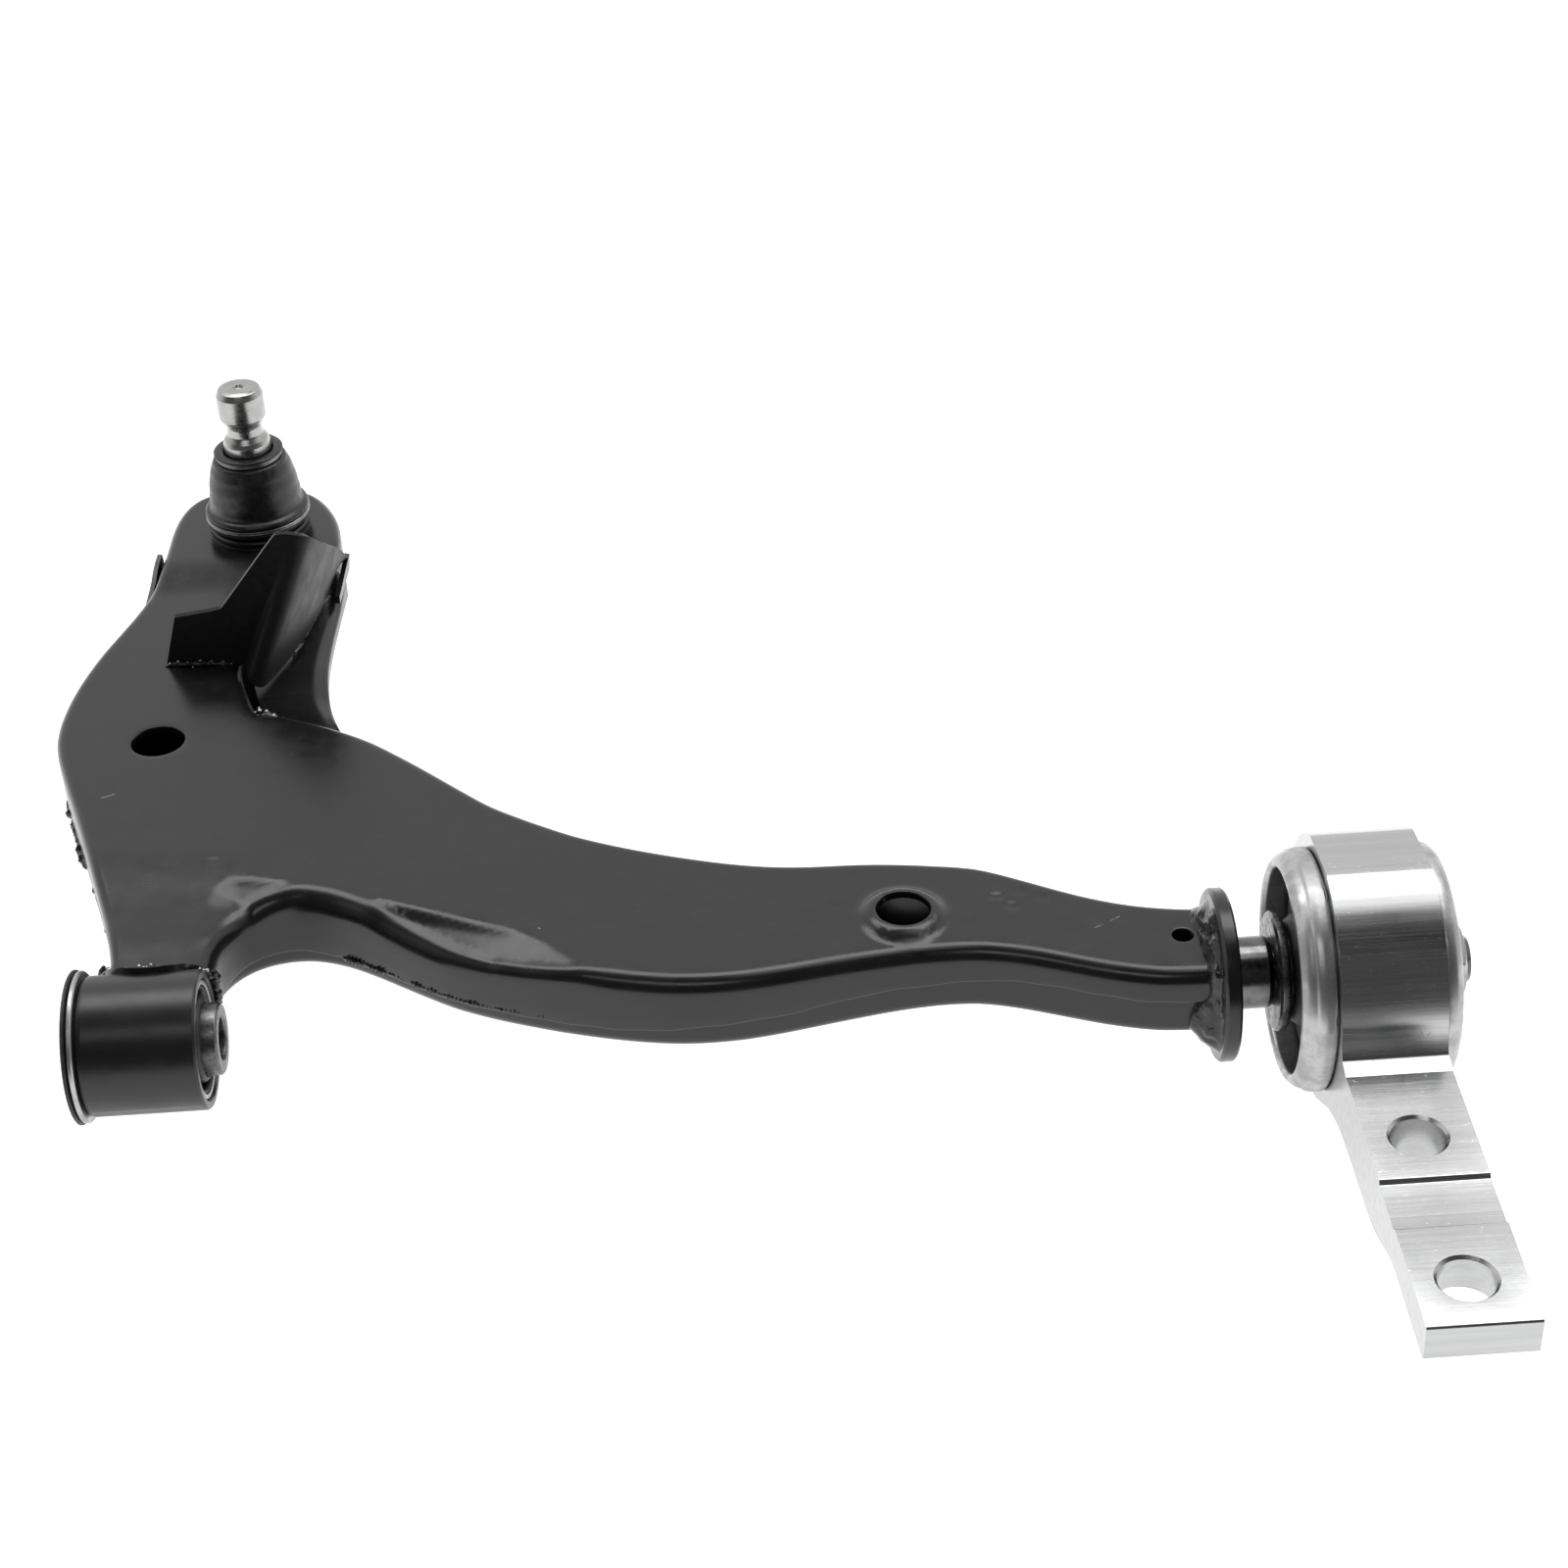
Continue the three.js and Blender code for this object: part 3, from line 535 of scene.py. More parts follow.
class Look(Tree):
    """One Principled material built from noise at real scale."""

    def __init__(self, name, metallic=0.0):
        self.material = bpy.data.materials.new(name)
        self.material.use_nodes = True
        super().__init__(self.material.node_tree)
        self.shader = self.tree.nodes["Principled BSDF"]
        self.shader.inputs["Metallic"].default_value = metallic
        self.position = self.node("ShaderNodeTexCoord").outputs["Object"]
        self.normal = None

    def noise(self, size, detail=3.0, stretch=(1, 1, 1), roughness=0.55):
        """Noise whose grains are about size millimetres across, and longer along the stretched axes."""
        scaled = self.node("ShaderNodeMapping")
        scaled.inputs["Scale"].default_value = [1000.0 / (size * s) for s in stretch]
        self.link(self.position, scaled.inputs["Vector"])
        tex = self.node("ShaderNodeTexNoise")
        tex.inputs["Scale"].default_value = 1.0
        tex.inputs["Detail"].default_value = detail
        tex.inputs["Roughness"].default_value = roughness
        self.link(scaled.outputs["Vector"], tex.inputs["Vector"])
        return tex.outputs["Fac"]

    def colours(self, factor, a, b):
        """Mix of two colours; a number stands for a grey."""
        made = self.node("ShaderNodeMix", data_type="RGBA")
        self.link(factor, made.inputs["Factor"])
        for name, value in (("A", a), ("B", b)):
            socket = [s for s in made.inputs if s.name == name and s.type == "RGBA"][0]
            if isinstance(value, bpy.types.NodeSocket):
                self.link(value, socket)
            else:
                colour = value if isinstance(value, tuple) else (value,) * 3
                socket.default_value = (*colour, 1)
        return [s for s in made.outputs if s.type == "RGBA"][0]

    def base(self, colour):
        self.link(colour, self.shader.inputs["Base Color"])

    def rough(self, value):
        self.link(value, self.shader.inputs["Roughness"])

    def bump(self, value, depth):
        """Adds a bump whose full swing is depth millimetres."""
        made = self.node("ShaderNodeBump")
        made.inputs["Strength"].default_value = 1.0
        made.inputs["Distance"].default_value = depth * MM
        self.link(value, made.inputs["Height"])
        if self.normal is not None:
            self.link(self.normal, made.inputs["Normal"])
        self.normal = made.outputs["Normal"]
        self.link(self.normal, self.shader.inputs["Normal"])

    def near_line(self, a, b, width):
        """1 close to the line from a to b (arm frame), 0 further than width away from it."""
        a, b = place(a), place(b)
        d = b - a
        offset = self.node("ShaderNodeVectorMath", operation="SUBTRACT")
        self.link(self.position, offset.inputs[0])
        offset.inputs[1].default_value = tuple(a)
        dot = self.node("ShaderNodeVectorMath", operation="DOT_PRODUCT")
        self.link(offset.outputs[0], dot.inputs[0])
        dot.inputs[1].default_value = tuple(d / (d @ d))
        t = self.node("ShaderNodeClamp")
        self.link(dot.outputs["Value"], t.inputs["Value"])
        back = self.node("ShaderNodeVectorMath", operation="SCALE")
        back.inputs[0].default_value = tuple(d)
        self.link(t.outputs[0], back.inputs["Scale"])
        gap = self.node("ShaderNodeVectorMath", operation="DISTANCE")
        self.link(offset.outputs[0], gap.inputs[0])
        self.link(back.outputs[0], gap.inputs[1])
        return self.ramp(gap.outputs["Value"], width * 0.4 * MM, width * MM, 1.0, 0.0)


def mottled(name, metallic, tones, roughness, bumps):
    """A material of two clouded tones with mottled roughness and fine bumps.
    tones: grain size, detail, the noise values where each tone begins, the two tones.
    roughness: grain size, detail, the two roughnesses. bumps: grain size, detail, depth, stretch."""
    look = Look(name, metallic)
    size, detail, low, high, first, second = tones
    look.base(look.colours(look.ramp(look.noise(size, detail), low, high, 0, 1), first, second))
    size, detail, first, second = roughness
    look.rough(look.ramp(look.noise(size, detail), 0.3, 0.7, first, second))
    for size, detail, depth, *stretch in bumps:
        look.bump(look.noise(size, detail, *stretch), depth)
    return look


COAT_TONES = (34, 4, 0.35, 0.65, (0.0052, 0.0054, 0.0056), (0.0066, 0.0068, 0.007))
MATERIALS = {
    name: mottled(title, *values).material for name, title, *values in (
        ("tube", "black_electrocoat_tube", 0.0, COAT_TONES, (9, 5, 0.3, 0.36),
         ((5.0, 2, 0.006), (0.55, 3, 0.012))),
        ("weld", "weld_electrocoat", 0.0, (2.2, 4, 0.45, 0.62, (0.0045, 0.0045, 0.005), 0.016),
         (2.6, 4, 0.1, 0.26), ((3.6, 2, 0.35), (1.1, 3, 0.06))),
        ("specks", "weld_spatter", 0.8, (1.2, 3, 0.3, 0.5, 0.02, (0.62, 0.62, 0.6)), (0.6, 3, 0.2, 0.5),
         ((0.8, 3, 0.25),)),
        ("sleeve", "sleeve_steel", 1.0, (5, 4, 0.35, 0.65, 0.11, 0.17), (1.2, 4, 0.26, 0.44),
         ((0.3, 3, 0.012, (1, 6, 6)),)),
        ("pin", "dark_pin_steel", 1.0, (6, 4, 0.35, 0.65, 0.1, 0.16), (1.5, 4, 0.12, 0.22),
         ((0.4, 3, 0.006, (1, 8, 8)),)),
        ("collar", "dark_collar_steel", 0.9, (5, 4, 0.35, 0.65, 0.05, 0.15), (2, 4, 0.24, 0.42),
         ((0.6, 3, 0.015),)),
        ("rubber", "matt_rubber", 0.0, (3, 5, 0.35, 0.7, (0.011, 0.011, 0.0115), (0.026, 0.026, 0.027)),
         (1.4, 5, 0.42, 0.62), ((0.35, 4, 0.03), (2.5, 3, 0.05))),
        ("boot", "boot_rubber", 0.0, (5, 5, 0.35, 0.7, (0.008, 0.008, 0.0085), (0.02, 0.02, 0.021)),
         (2.5, 5, 0.27, 0.43), ((0.4, 4, 0.012), (3.5, 3, 0.05))),
        ("polymer", "moulded_polymer", 0.0, (4, 4, 0.3, 0.7, (0.66, 0.64, 0.57), (0.74, 0.72, 0.64)),
         (1, 4, 0.42, 0.56), ((0.5, 3, 0.02),)),
        ("spring", "spring_steel", 1.0, (4, 4, 0.3, 0.7, 0.22, 0.36), (1, 4, 0.28, 0.42),
         ((0.5, 3, 0.02),)),
    )
}


def make_special_materials():
    """The materials with scratches, a painted highlight along a fold or a painted shade line along a
    step.
    """
    plate = mottled("black_electrocoat", 0.0, COAT_TONES, (9, 5, 0.22, 0.28),
                    ((5.0, 2, 0.006), (0.55, 3, 0.012)))
    marks = None
    for a, b, width in (
        ((-29.5, 121.5, 17), (-25.2, 123.4, 17), 0.42),
        ((293.0, 27.0, 14.3), (297.0, 25.0, 14.2), 0.3),
        ((318.0, 12.0, 13.8), (327.0, 17.5, 13.7), 0.3),
        ((131.0, 27.5, 17.0), (131.7, 27.0, 17.0), 0.5),
    ):
        near = plate.near_line(a, b, width)
        marks = near if marks is None else plate.maths("MAXIMUM", marks, near)
    plate.base(plate.colours(marks, plate.shader.inputs["Base Color"].links[0].from_socket, 0.16))
    MATERIALS["coat"] = plate.material

    stop = mottled("black_electrocoat_stop", 0.0,
                   (3, 4, 0.35, 0.65, (0.017, 0.0173, 0.0176), (0.021, 0.0213, 0.0216)),
                   (9, 5, 0.3, 0.4), ((5.0, 2, 0.012), (0.55, 3, 0.008)))
    stop.shader.inputs["Specular IOR Level"].default_value = 0.05
    # painted highlight: a lighter line along the stop's rounded fold stands in for the fold's
    # highlight, since this material has almost no specular
    fold_highlight = stop.near_line((40.6, 211.5, 71.3), (17.3, 207.0, 17.5), 0.8)
    stop.base(stop.colours(fold_highlight, stop.shader.inputs["Base Color"].links[0].from_socket, 0.12))
    MATERIALS["stop"] = stop.material

    stud = Look("ground_steel", 1.0)
    stud.base(stud.colours(stud.ramp(stud.noise(6, 4), 0.3, 0.7, 0, 1), (0.36, 0.36, 0.355),
                           (0.43, 0.43, 0.425)))
    stud.rough(stud.ramp(stud.noise(3, 4, (1, 1, 0.4)), 0.3, 0.7, 0.24, 0.32))
    stud.bump(stud.noise(0.5, 2, (40, 40, 1)), 0.002)
    MATERIALS["stud"] = stud.material

    zinc = Look("zinc_plated_steel", 1.0)
    blotch = zinc.noise(7.5, 5, roughness=0.65)
    zinc.base(zinc.colours(zinc.ramp(blotch, 0.4, 0.62, 0, 1), (0.36, 0.36, 0.365), 0.47))
    zinc.rough(zinc.ramp(blotch, 0.35, 0.65, 0.42, 0.34))
    zinc.bump(zinc.noise(0.5, 4), 0.008)
    zinc.bump(zinc.noise(5, 3), 0.03)
    MATERIALS["zinc"] = zinc.material

    alloy = Look("extruded_aluminium", 1.0)
    lines = alloy.noise(0.5, 4, (160, 1, 1), 0.7)
    wide = alloy.noise(3.2, 3, (60, 1, 1))
    # painted shade: a dark line along the edge of the groove in the bracket's top face, where the
    # step's shade falls
    step_shade_line = alloy.near_line((388, -123.8, -2.2), (427, -123.8, -2.2), 0.35)
    metal = alloy.colours(alloy.ramp(wide, 0.3, 0.7, 0, 1), (0.45, 0.452, 0.455), (0.5, 0.502, 0.505))
    alloy.base(alloy.colours(step_shade_line, metal, 0.25))
    alloy.rough(alloy.ramp(lines, 0.3, 0.7, 0.2, 0.28))
    alloy.bump(lines, 0.008)
    alloy.bump(wide, 0.02)
    alloy.bump(alloy.ramp(alloy.noise(1.3, 2), 0.68, 0.76, 0, 1), 0.03)
    alloy.shader.inputs["Anisotropic"].default_value = 0.2
    MATERIALS["alloy"] = alloy.material


make_special_materials()

# ---- pressed shells -----------------------------------------------------------------------------
EYE_WALL = 22.9      # the shells' outer faces stay this far from the front bush's axis
EYE_INSIDE = 21.6    # and their inner faces this far
SHELL_END = 354.6    # the shells stop here along the pivot axis
FLANGE_FACE = 355.6  # front face of the rear flange
BALL = np.array([10.5, 311.0, 0.0])  # on the ball joint's axis
# Outlines of the two shells seen from above, from the rear flange round the outside and back.
UPPER_EDGE = [
    (361, 21.5), (350, 22), (334, 25.5), (320, 31), (307, 38), (295, 45), (282, 51.5), (268, 54.5),
    (254, 56.5), (240, 57.5), (226, 57.5), (212, 58.5), (197, 61.5), (182, 66), (168, 71), (155, 76.5),
    (143, 82.5), (132, 89.5), (122, 96.5), (113, 103.5), (104, 112.5), (95, 122), (86, 131.5),
    (77, 140.5), (68, 149), (58, 156.5), (44, 165), (30, 171.6), (23.5, 172.6), (19.2, 181), (15, 194),
    (12.6, 206), (12.5, 219), (17, 236), (27, 256), (38, 276), (44, 292), (44, 303), (42, 315),
    (37.5, 327), (30.5, 337.5), (22, 343), (13, 345.5), (-3, 345.5), (-11, 343.5), (-18, 339.5),
    (-23, 332), (-26, 320), (-27, 306), (-27.5, 290), (-29.5, 272), (-36, 248), (-44, 225), (-50, 202),
    (-53, 180), (-52.5, 162), (-47, 141), (-39, 116), (-31, 90), (-24, 67), (-18, 45), (-15, 30),
    (-15, 14), (-8, 6), (8, 5), (18, 12), (20.5, 34), (26, 46.5), (34.5, 53), (46, 54.5), (60, 49.5),
    (78, 37), (98, 22), (122, 9.5), (147, 0), (175, -6.5), (200, -6.5), (228, -1.5), (255, 2.5),
    (278, 3), (296, -1.5), (317, -10), (336, -15.5), (352, -16.5), (361, -16.5),
]
LOWER_EDGE = [
    (361, 18.2), (350, 18.8), (333, 22.3), (318.6, 28), (305.4, 35.1), (293.4, 42.2), (280.6, 48.4),
    (267.2, 51.3), (253.6, 53.2), (240, 54.2), (225.8, 54.2), (211.6, 55.2), (196.2, 58.3), (181, 62.9),
    (167, 67.9), (153.6, 73.5), (141.5, 79.5), (130.2, 86.7), (120, 93.8), (110.8, 101), (101.6, 110.2),
    (92.6, 119.8), (83.6, 129.2), (74.6, 138), (65.8, 147), (58, 157.5), (52, 166), (46.5, 178),
    (42.5, 192), (40, 208), (39, 226), (39.5, 247), (41, 272), (39, 284), (30, 286), (0, 286),
    (-18, 286), (-25, 284), (-25.8, 272), (-32.7, 247), (-40.7, 224), (-46.7, 201), (-49.6, 180),
    (-49.2, 162.5), (-43.8, 142), (-35.8, 117), (-27.8, 91), (-20.8, 68), (-14.7, 45.5), (-11.7, 30),
    (-12, 16), (-6, 8), (6, 8), (15, 14), (17.2, 35.5), (23.3, 48.6), (32.9, 56), (46.5, 57.9),
    (61.6, 52.5), (79.8, 39.7), (99.8, 24.8), (123.3, 12.5), (148, 3.1), (175.6, -3.2), (199.6, -3.2),
    (227, 1.6), (254.4, 5.8), (278.6, 6.3), (297.2, 1.6), (318, -6.8), (336.6, -12.2), (352, -13.2),
    (361, -13.2),
]
# The step along the front edge, seen from above, from the front eye outwards.
STEP = np.array([
    (12.8, 8), (13.2, 28), (13.8, 41), (14.6, 54.8), (17, 63.7), (22.5, 69.4), (31.3, 67.6),
    (45.3, 62.9), (61.2, 55.6), (80.3, 47.4), (97.5, 39.4), (111, 33), (123, 28), (134.6, 19.2),
    (144.6, 8.6), (151, 2.6), (158, -3),
], float)
# Along that line, from 0 to 1: how far the face drops at once and in all, and how wide the slope is.
STEP_AT = [0.0, 0.1, 0.2, 0.3, 0.4, 0.5, 0.6, 0.68, 0.76, 0.84, 0.92, 1.0]
STEP_QUICK = [0.3, 0.3, 0.3, 0.3, 0.6, 1.3, 1.3, 0.8, 0.4, 0.2, 0.0, 0.0]
STEP_DROP = [3.5, 4.2, 4.6, 4.7, 4.8, 5.0, 5.0, 4.9, 4.6, 3.8, 1.8, 0.0]
STEP_WIDE = [14.0, 16.0, 17.0, 17.0, 14.0, 9.5, 9.0, 11.0, 14.0, 14.0, 10.0, 6.0]
# Holes in the upper shell: x, y and radius.
HOLE_A = (-13.5, 157.0, 9.8)
HOLE_B = (254.5, 24.4, 9.2)
HOLE_C = (346.5, 5.5, 3.4)


def upper_level(x, y):
    """Height of the upper shell's face."""
    x, y = np.asarray(x, float), np.asarray(y, float)
    z = 17 - 3.5 * smooth(90, 340, x)
    z = z + 3.0 * smooth(262, 287, y)
    z = z - 2.8 * (1 - smooth(50, 86, y + 0.12 * x)) * (1 - smooth(16, 44, x))
    z = z - 2.0 * (1 - smooth(18, 46, y)) * (1 - smooth(8, 20, x))
    points = np.column_stack([x.ravel(), y.ravel()])
    near = (x.ravel() < 175) & (y.ravel() < 90)
    drop = np.zeros(len(points))
    if near.any():
        distance, along = line_distance(points[near], STEP)
        quick = np.interp(along, STEP_AT, STEP_QUICK)
        deep = np.interp(along, STEP_AT, STEP_DROP)
        wide = np.interp(along, STEP_AT, STEP_WIDE)
        fall = np.clip((distance - 1.0) / (wide - 1.0), 0, 1)
        drop[near] = quick * smooth(0, 4.0, distance) + (deep - quick) * fall ** 1.05
    z = z - drop.reshape(x.shape)
    # raised boss round the rear hole
    r = np.hypot(x - HOLE_B[0], y - HOLE_B[1])
    z = z + 3.3 * (1 - smooth(10.4, 16.6, r))
    # two small shapeless marks near the eye
    r = np.hypot((x - 15.5) / 1.6, y - 78.2)
    z = z - 0.5 * (1 - smooth(0.4, 2.6, r))
    r = np.hypot(x - 23.4, y - 47.5)
    z = z + 0.45 * np.exp(-((r - 2.6) / 0.9) ** 2) + 0.4 * np.exp(-(r / 0.8) ** 2)
    # dents: place, width in x and y, depth
    for px, py, sx, sy, deep in (
        (287, 33, 2.4, 1.7, 0.9), (292, 27, 1.5, 2.6, 0.8), (296, 35, 1.6, 1.2, 0.7),
        (302, 31, 1.2, 2.0, 0.6), (232, 33, 1.2, 1.0, 0.35), (321, 14, 2.6, 0.8, 0.35),
        (329, 19, 1.5, 0.9, 0.35),
    ):
        r = np.hypot((x - px) / sx, (y - py) / sy)
        z = z - deep * (1 - smooth(0.3, 1.3, r)) + 0.2 * np.exp(-((r - 1.7) / 0.4) ** 2)
    return z


def seam_level(x, y):
    """Height of the upper shell's lower edge, slightly wavy."""
    base = -8 + 10 * smooth(60, 330, x)
    inner = base + (7 - base) * smooth(240, 262, y)
    outer = base + (8 - base) * smooth(280, 292, y)
    wave = 0.35 * np.sin(x * 0.11 + y * 0.07) + 0.2 * np.sin(x * 0.31 - y * 0.23)
    return np.where(x > 10, inner, outer) + wave


def upper_corner(x, y):
    """Radius of the bend between the upper shell's face and wall."""
    front = (1 - smooth(56, 72, y)) * smooth(10, 14, x)
    wide = np.interp(x, [10, 18, 60, 90, 112, 135, 155, 361], [4.2, 7.2, 7.6, 6.6, 4.6, 4.6, 6.2, 5.6])
    back = smooth(8, 12, y) * smooth(150, 170, x)
    return 4.2 + (wide - 4.2) * front * (1 - back)


def lower_wall(x, y):
    """Height of the lower shell's upper edge."""
    z = np.minimum(seam_level(x, y) + 5, 6)
    z = np.where((y > 135) & (x > 44), seam_level(x, y) - 0.6, z)
    return np.where((y > 170) & (x > 10), 0.0, z)


def clear_of_eye(verts, keep):
    """Pushes what would reach into the eye tube's bore back into the tube's wall."""
    r = np.hypot(verts[:, 1], verts[:, 2])
    hit = (r < keep) & (np.abs(verts[:, 0]) < 40) & (verts[:, 1] < 40)
    scale = np.where(hit, keep / np.maximum(r, 1e-6), 1.0)
    verts = verts.copy()
    verts[:, 1] *= scale
    verts[:, 2] *= scale
    return verts


def build_arm():
    edge = spline(UPPER_EDGE, 2.0)
    edge = edge[edge[:, 0] < SHELL_END]
    verts, faces = pressed_sheet(edge, upper_level, seam_level, upper_corner, 1,
                                 (HOLE_A, HOLE_B, HOLE_C))
    verts = clear_of_eye(verts, EYE_WALL)
    verts, faces = thickened(verts, faces, SHEET)
    verts = clear_of_eye(verts, EYE_INSIDE)
    new_piece("arm_upper_shell", verts, faces, MATERIALS["coat"], "arm", "arm_paint", ["upper_shell"])

    edge = spline(LOWER_EDGE, 2.2)
    edge = edge[edge[:, 0] < SHELL_END]

    def floor_level(x, y):
        x, y = np.asarray(x, float), np.asarray(y, float)
        bead_line = np.exp(-((y - (12 + 0.02 * x)) / 7.0) ** 2) * smooth(150, 190, x)
        bead_line = bead_line * (1 - smooth(300, 335, x))
        near_eye = (1 - smooth(70, 150, x)) * (1 - smooth(90, 150, y))
        return -15.4 - 2.2 * near_eye + 2.2 * bead_line

    def corner(x, y):
        return np.full(len(x), 5.5)

    verts, faces = pressed_sheet(edge, floor_level, lower_wall, corner, -1,
                                 ((-13.5, 157, 9.8), (255, 28, 8.6), (120, 55, 6.5), (300, 20, 6.5)),
                                 spacing=3.2)
    verts = clear_of_eye(verts, EYE_WALL)
    verts, faces = thickened(verts, faces, SHEET)
    verts = clear_of_eye(verts, EYE_INSIDE)
    new_piece("arm_lower_shell", verts, faces, MATERIALS["coat"], "arm", "arm_paint", ["lower_shell"])


build_arm()


def chaikin(points, rounds):
    """Corner-cut version of an open line that keeps its two ends."""
    p = np.asarray(points, float)
    for _ in range(rounds):
        a = p[:-1] * 0.75 + p[1:] * 0.25
        b = p[:-1] * 0.25 + p[1:] * 0.75
        p = np.vstack([p[:1], np.stack([a, b], 1).reshape(-1, p.shape[1])[1:-1], p[-1:]])
    return p


def ruled(name, bottom, top, thickness, material, rows, rounds, step=2.0, stands_for=()):
    """A bent sheet between two edge lines with matching points."""
    pair = chaikin(np.hstack([np.asarray(bottom, float), np.asarray(top, float)]), rounds)
    pair = resampled(pair, step)
    verts = np.vstack([pair[:, :3] * (1 - h) + pair[:, 3:] * h for h in np.linspace(0, 1, rows)])
    faces = grid_faces(rows, len(pair))
    return new_piece(name, *thickened(verts, faces, thickness), material, "arm", "arm_paint",
                     stands_for)


# ---- inner side plate of the ball-joint leg ------------------------------------------------------
def build_side_plate():
    count = 70

    def even(points):
        line = spline(points, 2.0)
        at, along = np.linspace(0, 1, count), np.linspace(0, 1, len(line))
        return np.column_stack([np.interp(at, along, line[:, k]) for k in range(2)])

    inner = even([(41.5, 285), (31, 258.5), (20.5, 238), (16.2, 220), (16.7, 205), (21.2, 189),
                  (25.2, 176), (33, 175.6)])
    outer = even([(46, 285), (44.6, 262), (43.6, 243), (43.2, 226), (44, 209), (46.5, 193.5),
                  (50.5, 180), (56, 168)])
    z_in = 2.8 + 7.2 * smooth(168, 226, inner[:, 1]) + 3 * smooth(262, 284, inner[:, 1])
    rows = []
    for t in np.linspace(0, 1, 26):
        drop = 1.0 * smooth(0.8, 1.0, t) + 5.4 * t
        drop = drop * (0.25 + 0.75 * smooth(180, 206, inner[:, 1]))
        rows.append(np.column_stack([inner * (1 - t) + outer * t, z_in - drop]))
    edge_z = rows[-1][:, 2]
    for t in (0.2, 0.4, 0.6, 0.8, 1.0):
        rows.append(np.column_stack([outer[:, 0] + 0.25, outer[:, 1], edge_z + (-0.6 - edge_z) * t]))
    verts = np.vstack(rows)
    faces = grid_faces(len(rows), count)
    new_piece("arm_side_plate", *thickened(verts, faces, 2.5), MATERIALS["coat"], "arm", "arm_paint",
              ["inner_side_plate"], crease=60)


build_side_plate()


# ---- steering stop -------------------------------------------------------------------------------
def build_stop():
    stations = [
        ((-16.8, 212.6, 16.6), (-10.2, 212.4, 38.4)), ((-6.0, 212.4, 17), (6.6, 212, 40.8)),
        ((-4.6, 212.4, 17), (8.4, 212, 41.8)), ((6.5, 211.4, 15.5), (31.9, 212, 71.2)),
        ((7.6, 211.4, 15), (33.4, 212, 72.4)), ((13.4, 211.2, 15.5), (38.0, 211.8, 72.2)),
        ((17.4, 210.4, 19.5), (40.8, 211.4, 71.8)), ((17.0, 199.0, 10.6), (43.0, 213.4, 70.0)),
        ((22, 208, 11), (43.9, 218, 66)), ((29, 226, 11.4), (44.8, 230, 57)),
        ((36.4, 252, 12), (46, 258, 39)), ((39.4, 268, 14), (46.4, 270, 30)),
        ((41, 282, 16.5), (47, 284, 20)),
    ]
    bottom, top = zip(*stations)
    piece = ruled("steering_stop_plate", bottom, top, -2.6, MATERIALS["stop"], rows=24, rounds=2,
                  step=1.1, stands_for=["steering_stop"])
    edge_bevel(piece, 0.4, angle=60)
    for name, bottom, top, thickness in (
        ("corner_ear_right", [(45.2, 266, 6.8), (46.2, 273, 8.2), (47.2, 280, 9.8), (48.2, 286, 11.4)],
         [(45.6, 265, 10.6), (46.8, 272, 13.4), (48.0, 279, 16.4), (49.3, 284.5, 19.2)], 2.0),
        ("corner_ear_left", [(-27.8, 294, 6), (-28.0, 284, 4), (-29.6, 274, 1), (-33.5, 262, -2)],
         [(-28.4, 293.4, 19.2), (-29.6, 287.6, 17.2), (-30.4, 278, 13.0), (-33.5, 262, 6.0)], -2.0),
    ):
        ruled(name, bottom, top, thickness, MATERIALS["coat"], rows=8, rounds=1)


build_stop()


# ---- front eye and bush --------------------------------------------------------------------------
def build_front_eye():
    tube = rounded([(20.4, -19.2), (22.9, -19.2, 0.4), (23.5, -18.5, 0.5), (23.5, 19.1, 0.5),
                    (22.9, 19.8, 0.4), (20.4, 19.8)], 0.3)
    tube = resampled(tube, 1.0, True)

    def seam(radius, height, angle):
        weld_line = np.exp(-((angle - math.radians(214)) / 0.05) ** 2)
        return radius - 0.18 * weld_line * (radius > 23), height

    turned_piece("eye_tube", tube, "tube", "arm", "arm_paint", "front_eye_tube", segments=144,
                 shape=seam)
    sleeve = rounded([(18.3, -21.9), (24.6, -21.9, 0.4), (25.4, -21.4, 0.4), (25.4, -20.4, 0.5),
                      (24.8, -19.9, 0.3), (20.5, -19.9, 0.3), (20.1, -19.4, 0.3), (20.1, 18.4, 0.4),
                      (19.7, 19, 0.3), (18.3, 19)], 0.3)
    turned_piece("front_sleeve_outer", sleeve, "zinc", "arm", "bush_steel", "front_bush_outer_sleeve",
                 segments=128)

    rubber = [
        (12.5, -22.2, 0.2), (13.6, -23.4, 0.6), (16.1, -24.2, 1.2), (19.5, -23.2, 1.0),
        (22.5, -23.6, 0.8), (25.3, -23.6, 0.5), (25.9, -23.2, 0.3), (25.9, -22.6, 0.3),
        (25.3, -22.2, 0.2), (18.1, -22.2, 0.2), (18.1, 18.0, 0.3), (17.6, 18.9, 0.4), (16.9, 18.2, 0.4),
        (16.3, 10.5, 0.6), (14.9, 10.5, 0.6), (14.2, 18.6, 0.5), (13.2, 19.6, 0.3), (12.5, 19.6, 0.2),
    ]
    rubber = resampled(rounded(rubber, 0.4), 0.6, True)

    def crescents(radius, height, angle):
        open_part = smooth(0.05, 0.5, np.abs(np.sin(angle - 0.35)))
        groove = (height > 8) & (height < 18.4) & (radius > 13.8) & (radius < 17.4)
        filled_height = np.where(groove, height + (18.0 - height) * (1 - open_part), height)
        return radius, filled_height

    turned_piece("front_rubber", rubber, "rubber", "arm", "rubber_black", "front_bush_rubber",
                 segments=128, shape=crescents)
    core = rounded([(7.25, -26), (11.3, -26, 0.5), (12.2, -25.2, 0.5), (12.2, 24.1, 0.5),
                    (11.4, 24.9, 0.5), (7.9, 24.9, 0.4), (7.25, 24.2, 0.4)], 0.4)
    turned_piece("front_core", core, "sleeve", "front_bush_core", "bush_steel",
                 "front_bush_inner_sleeve")


build_front_eye()


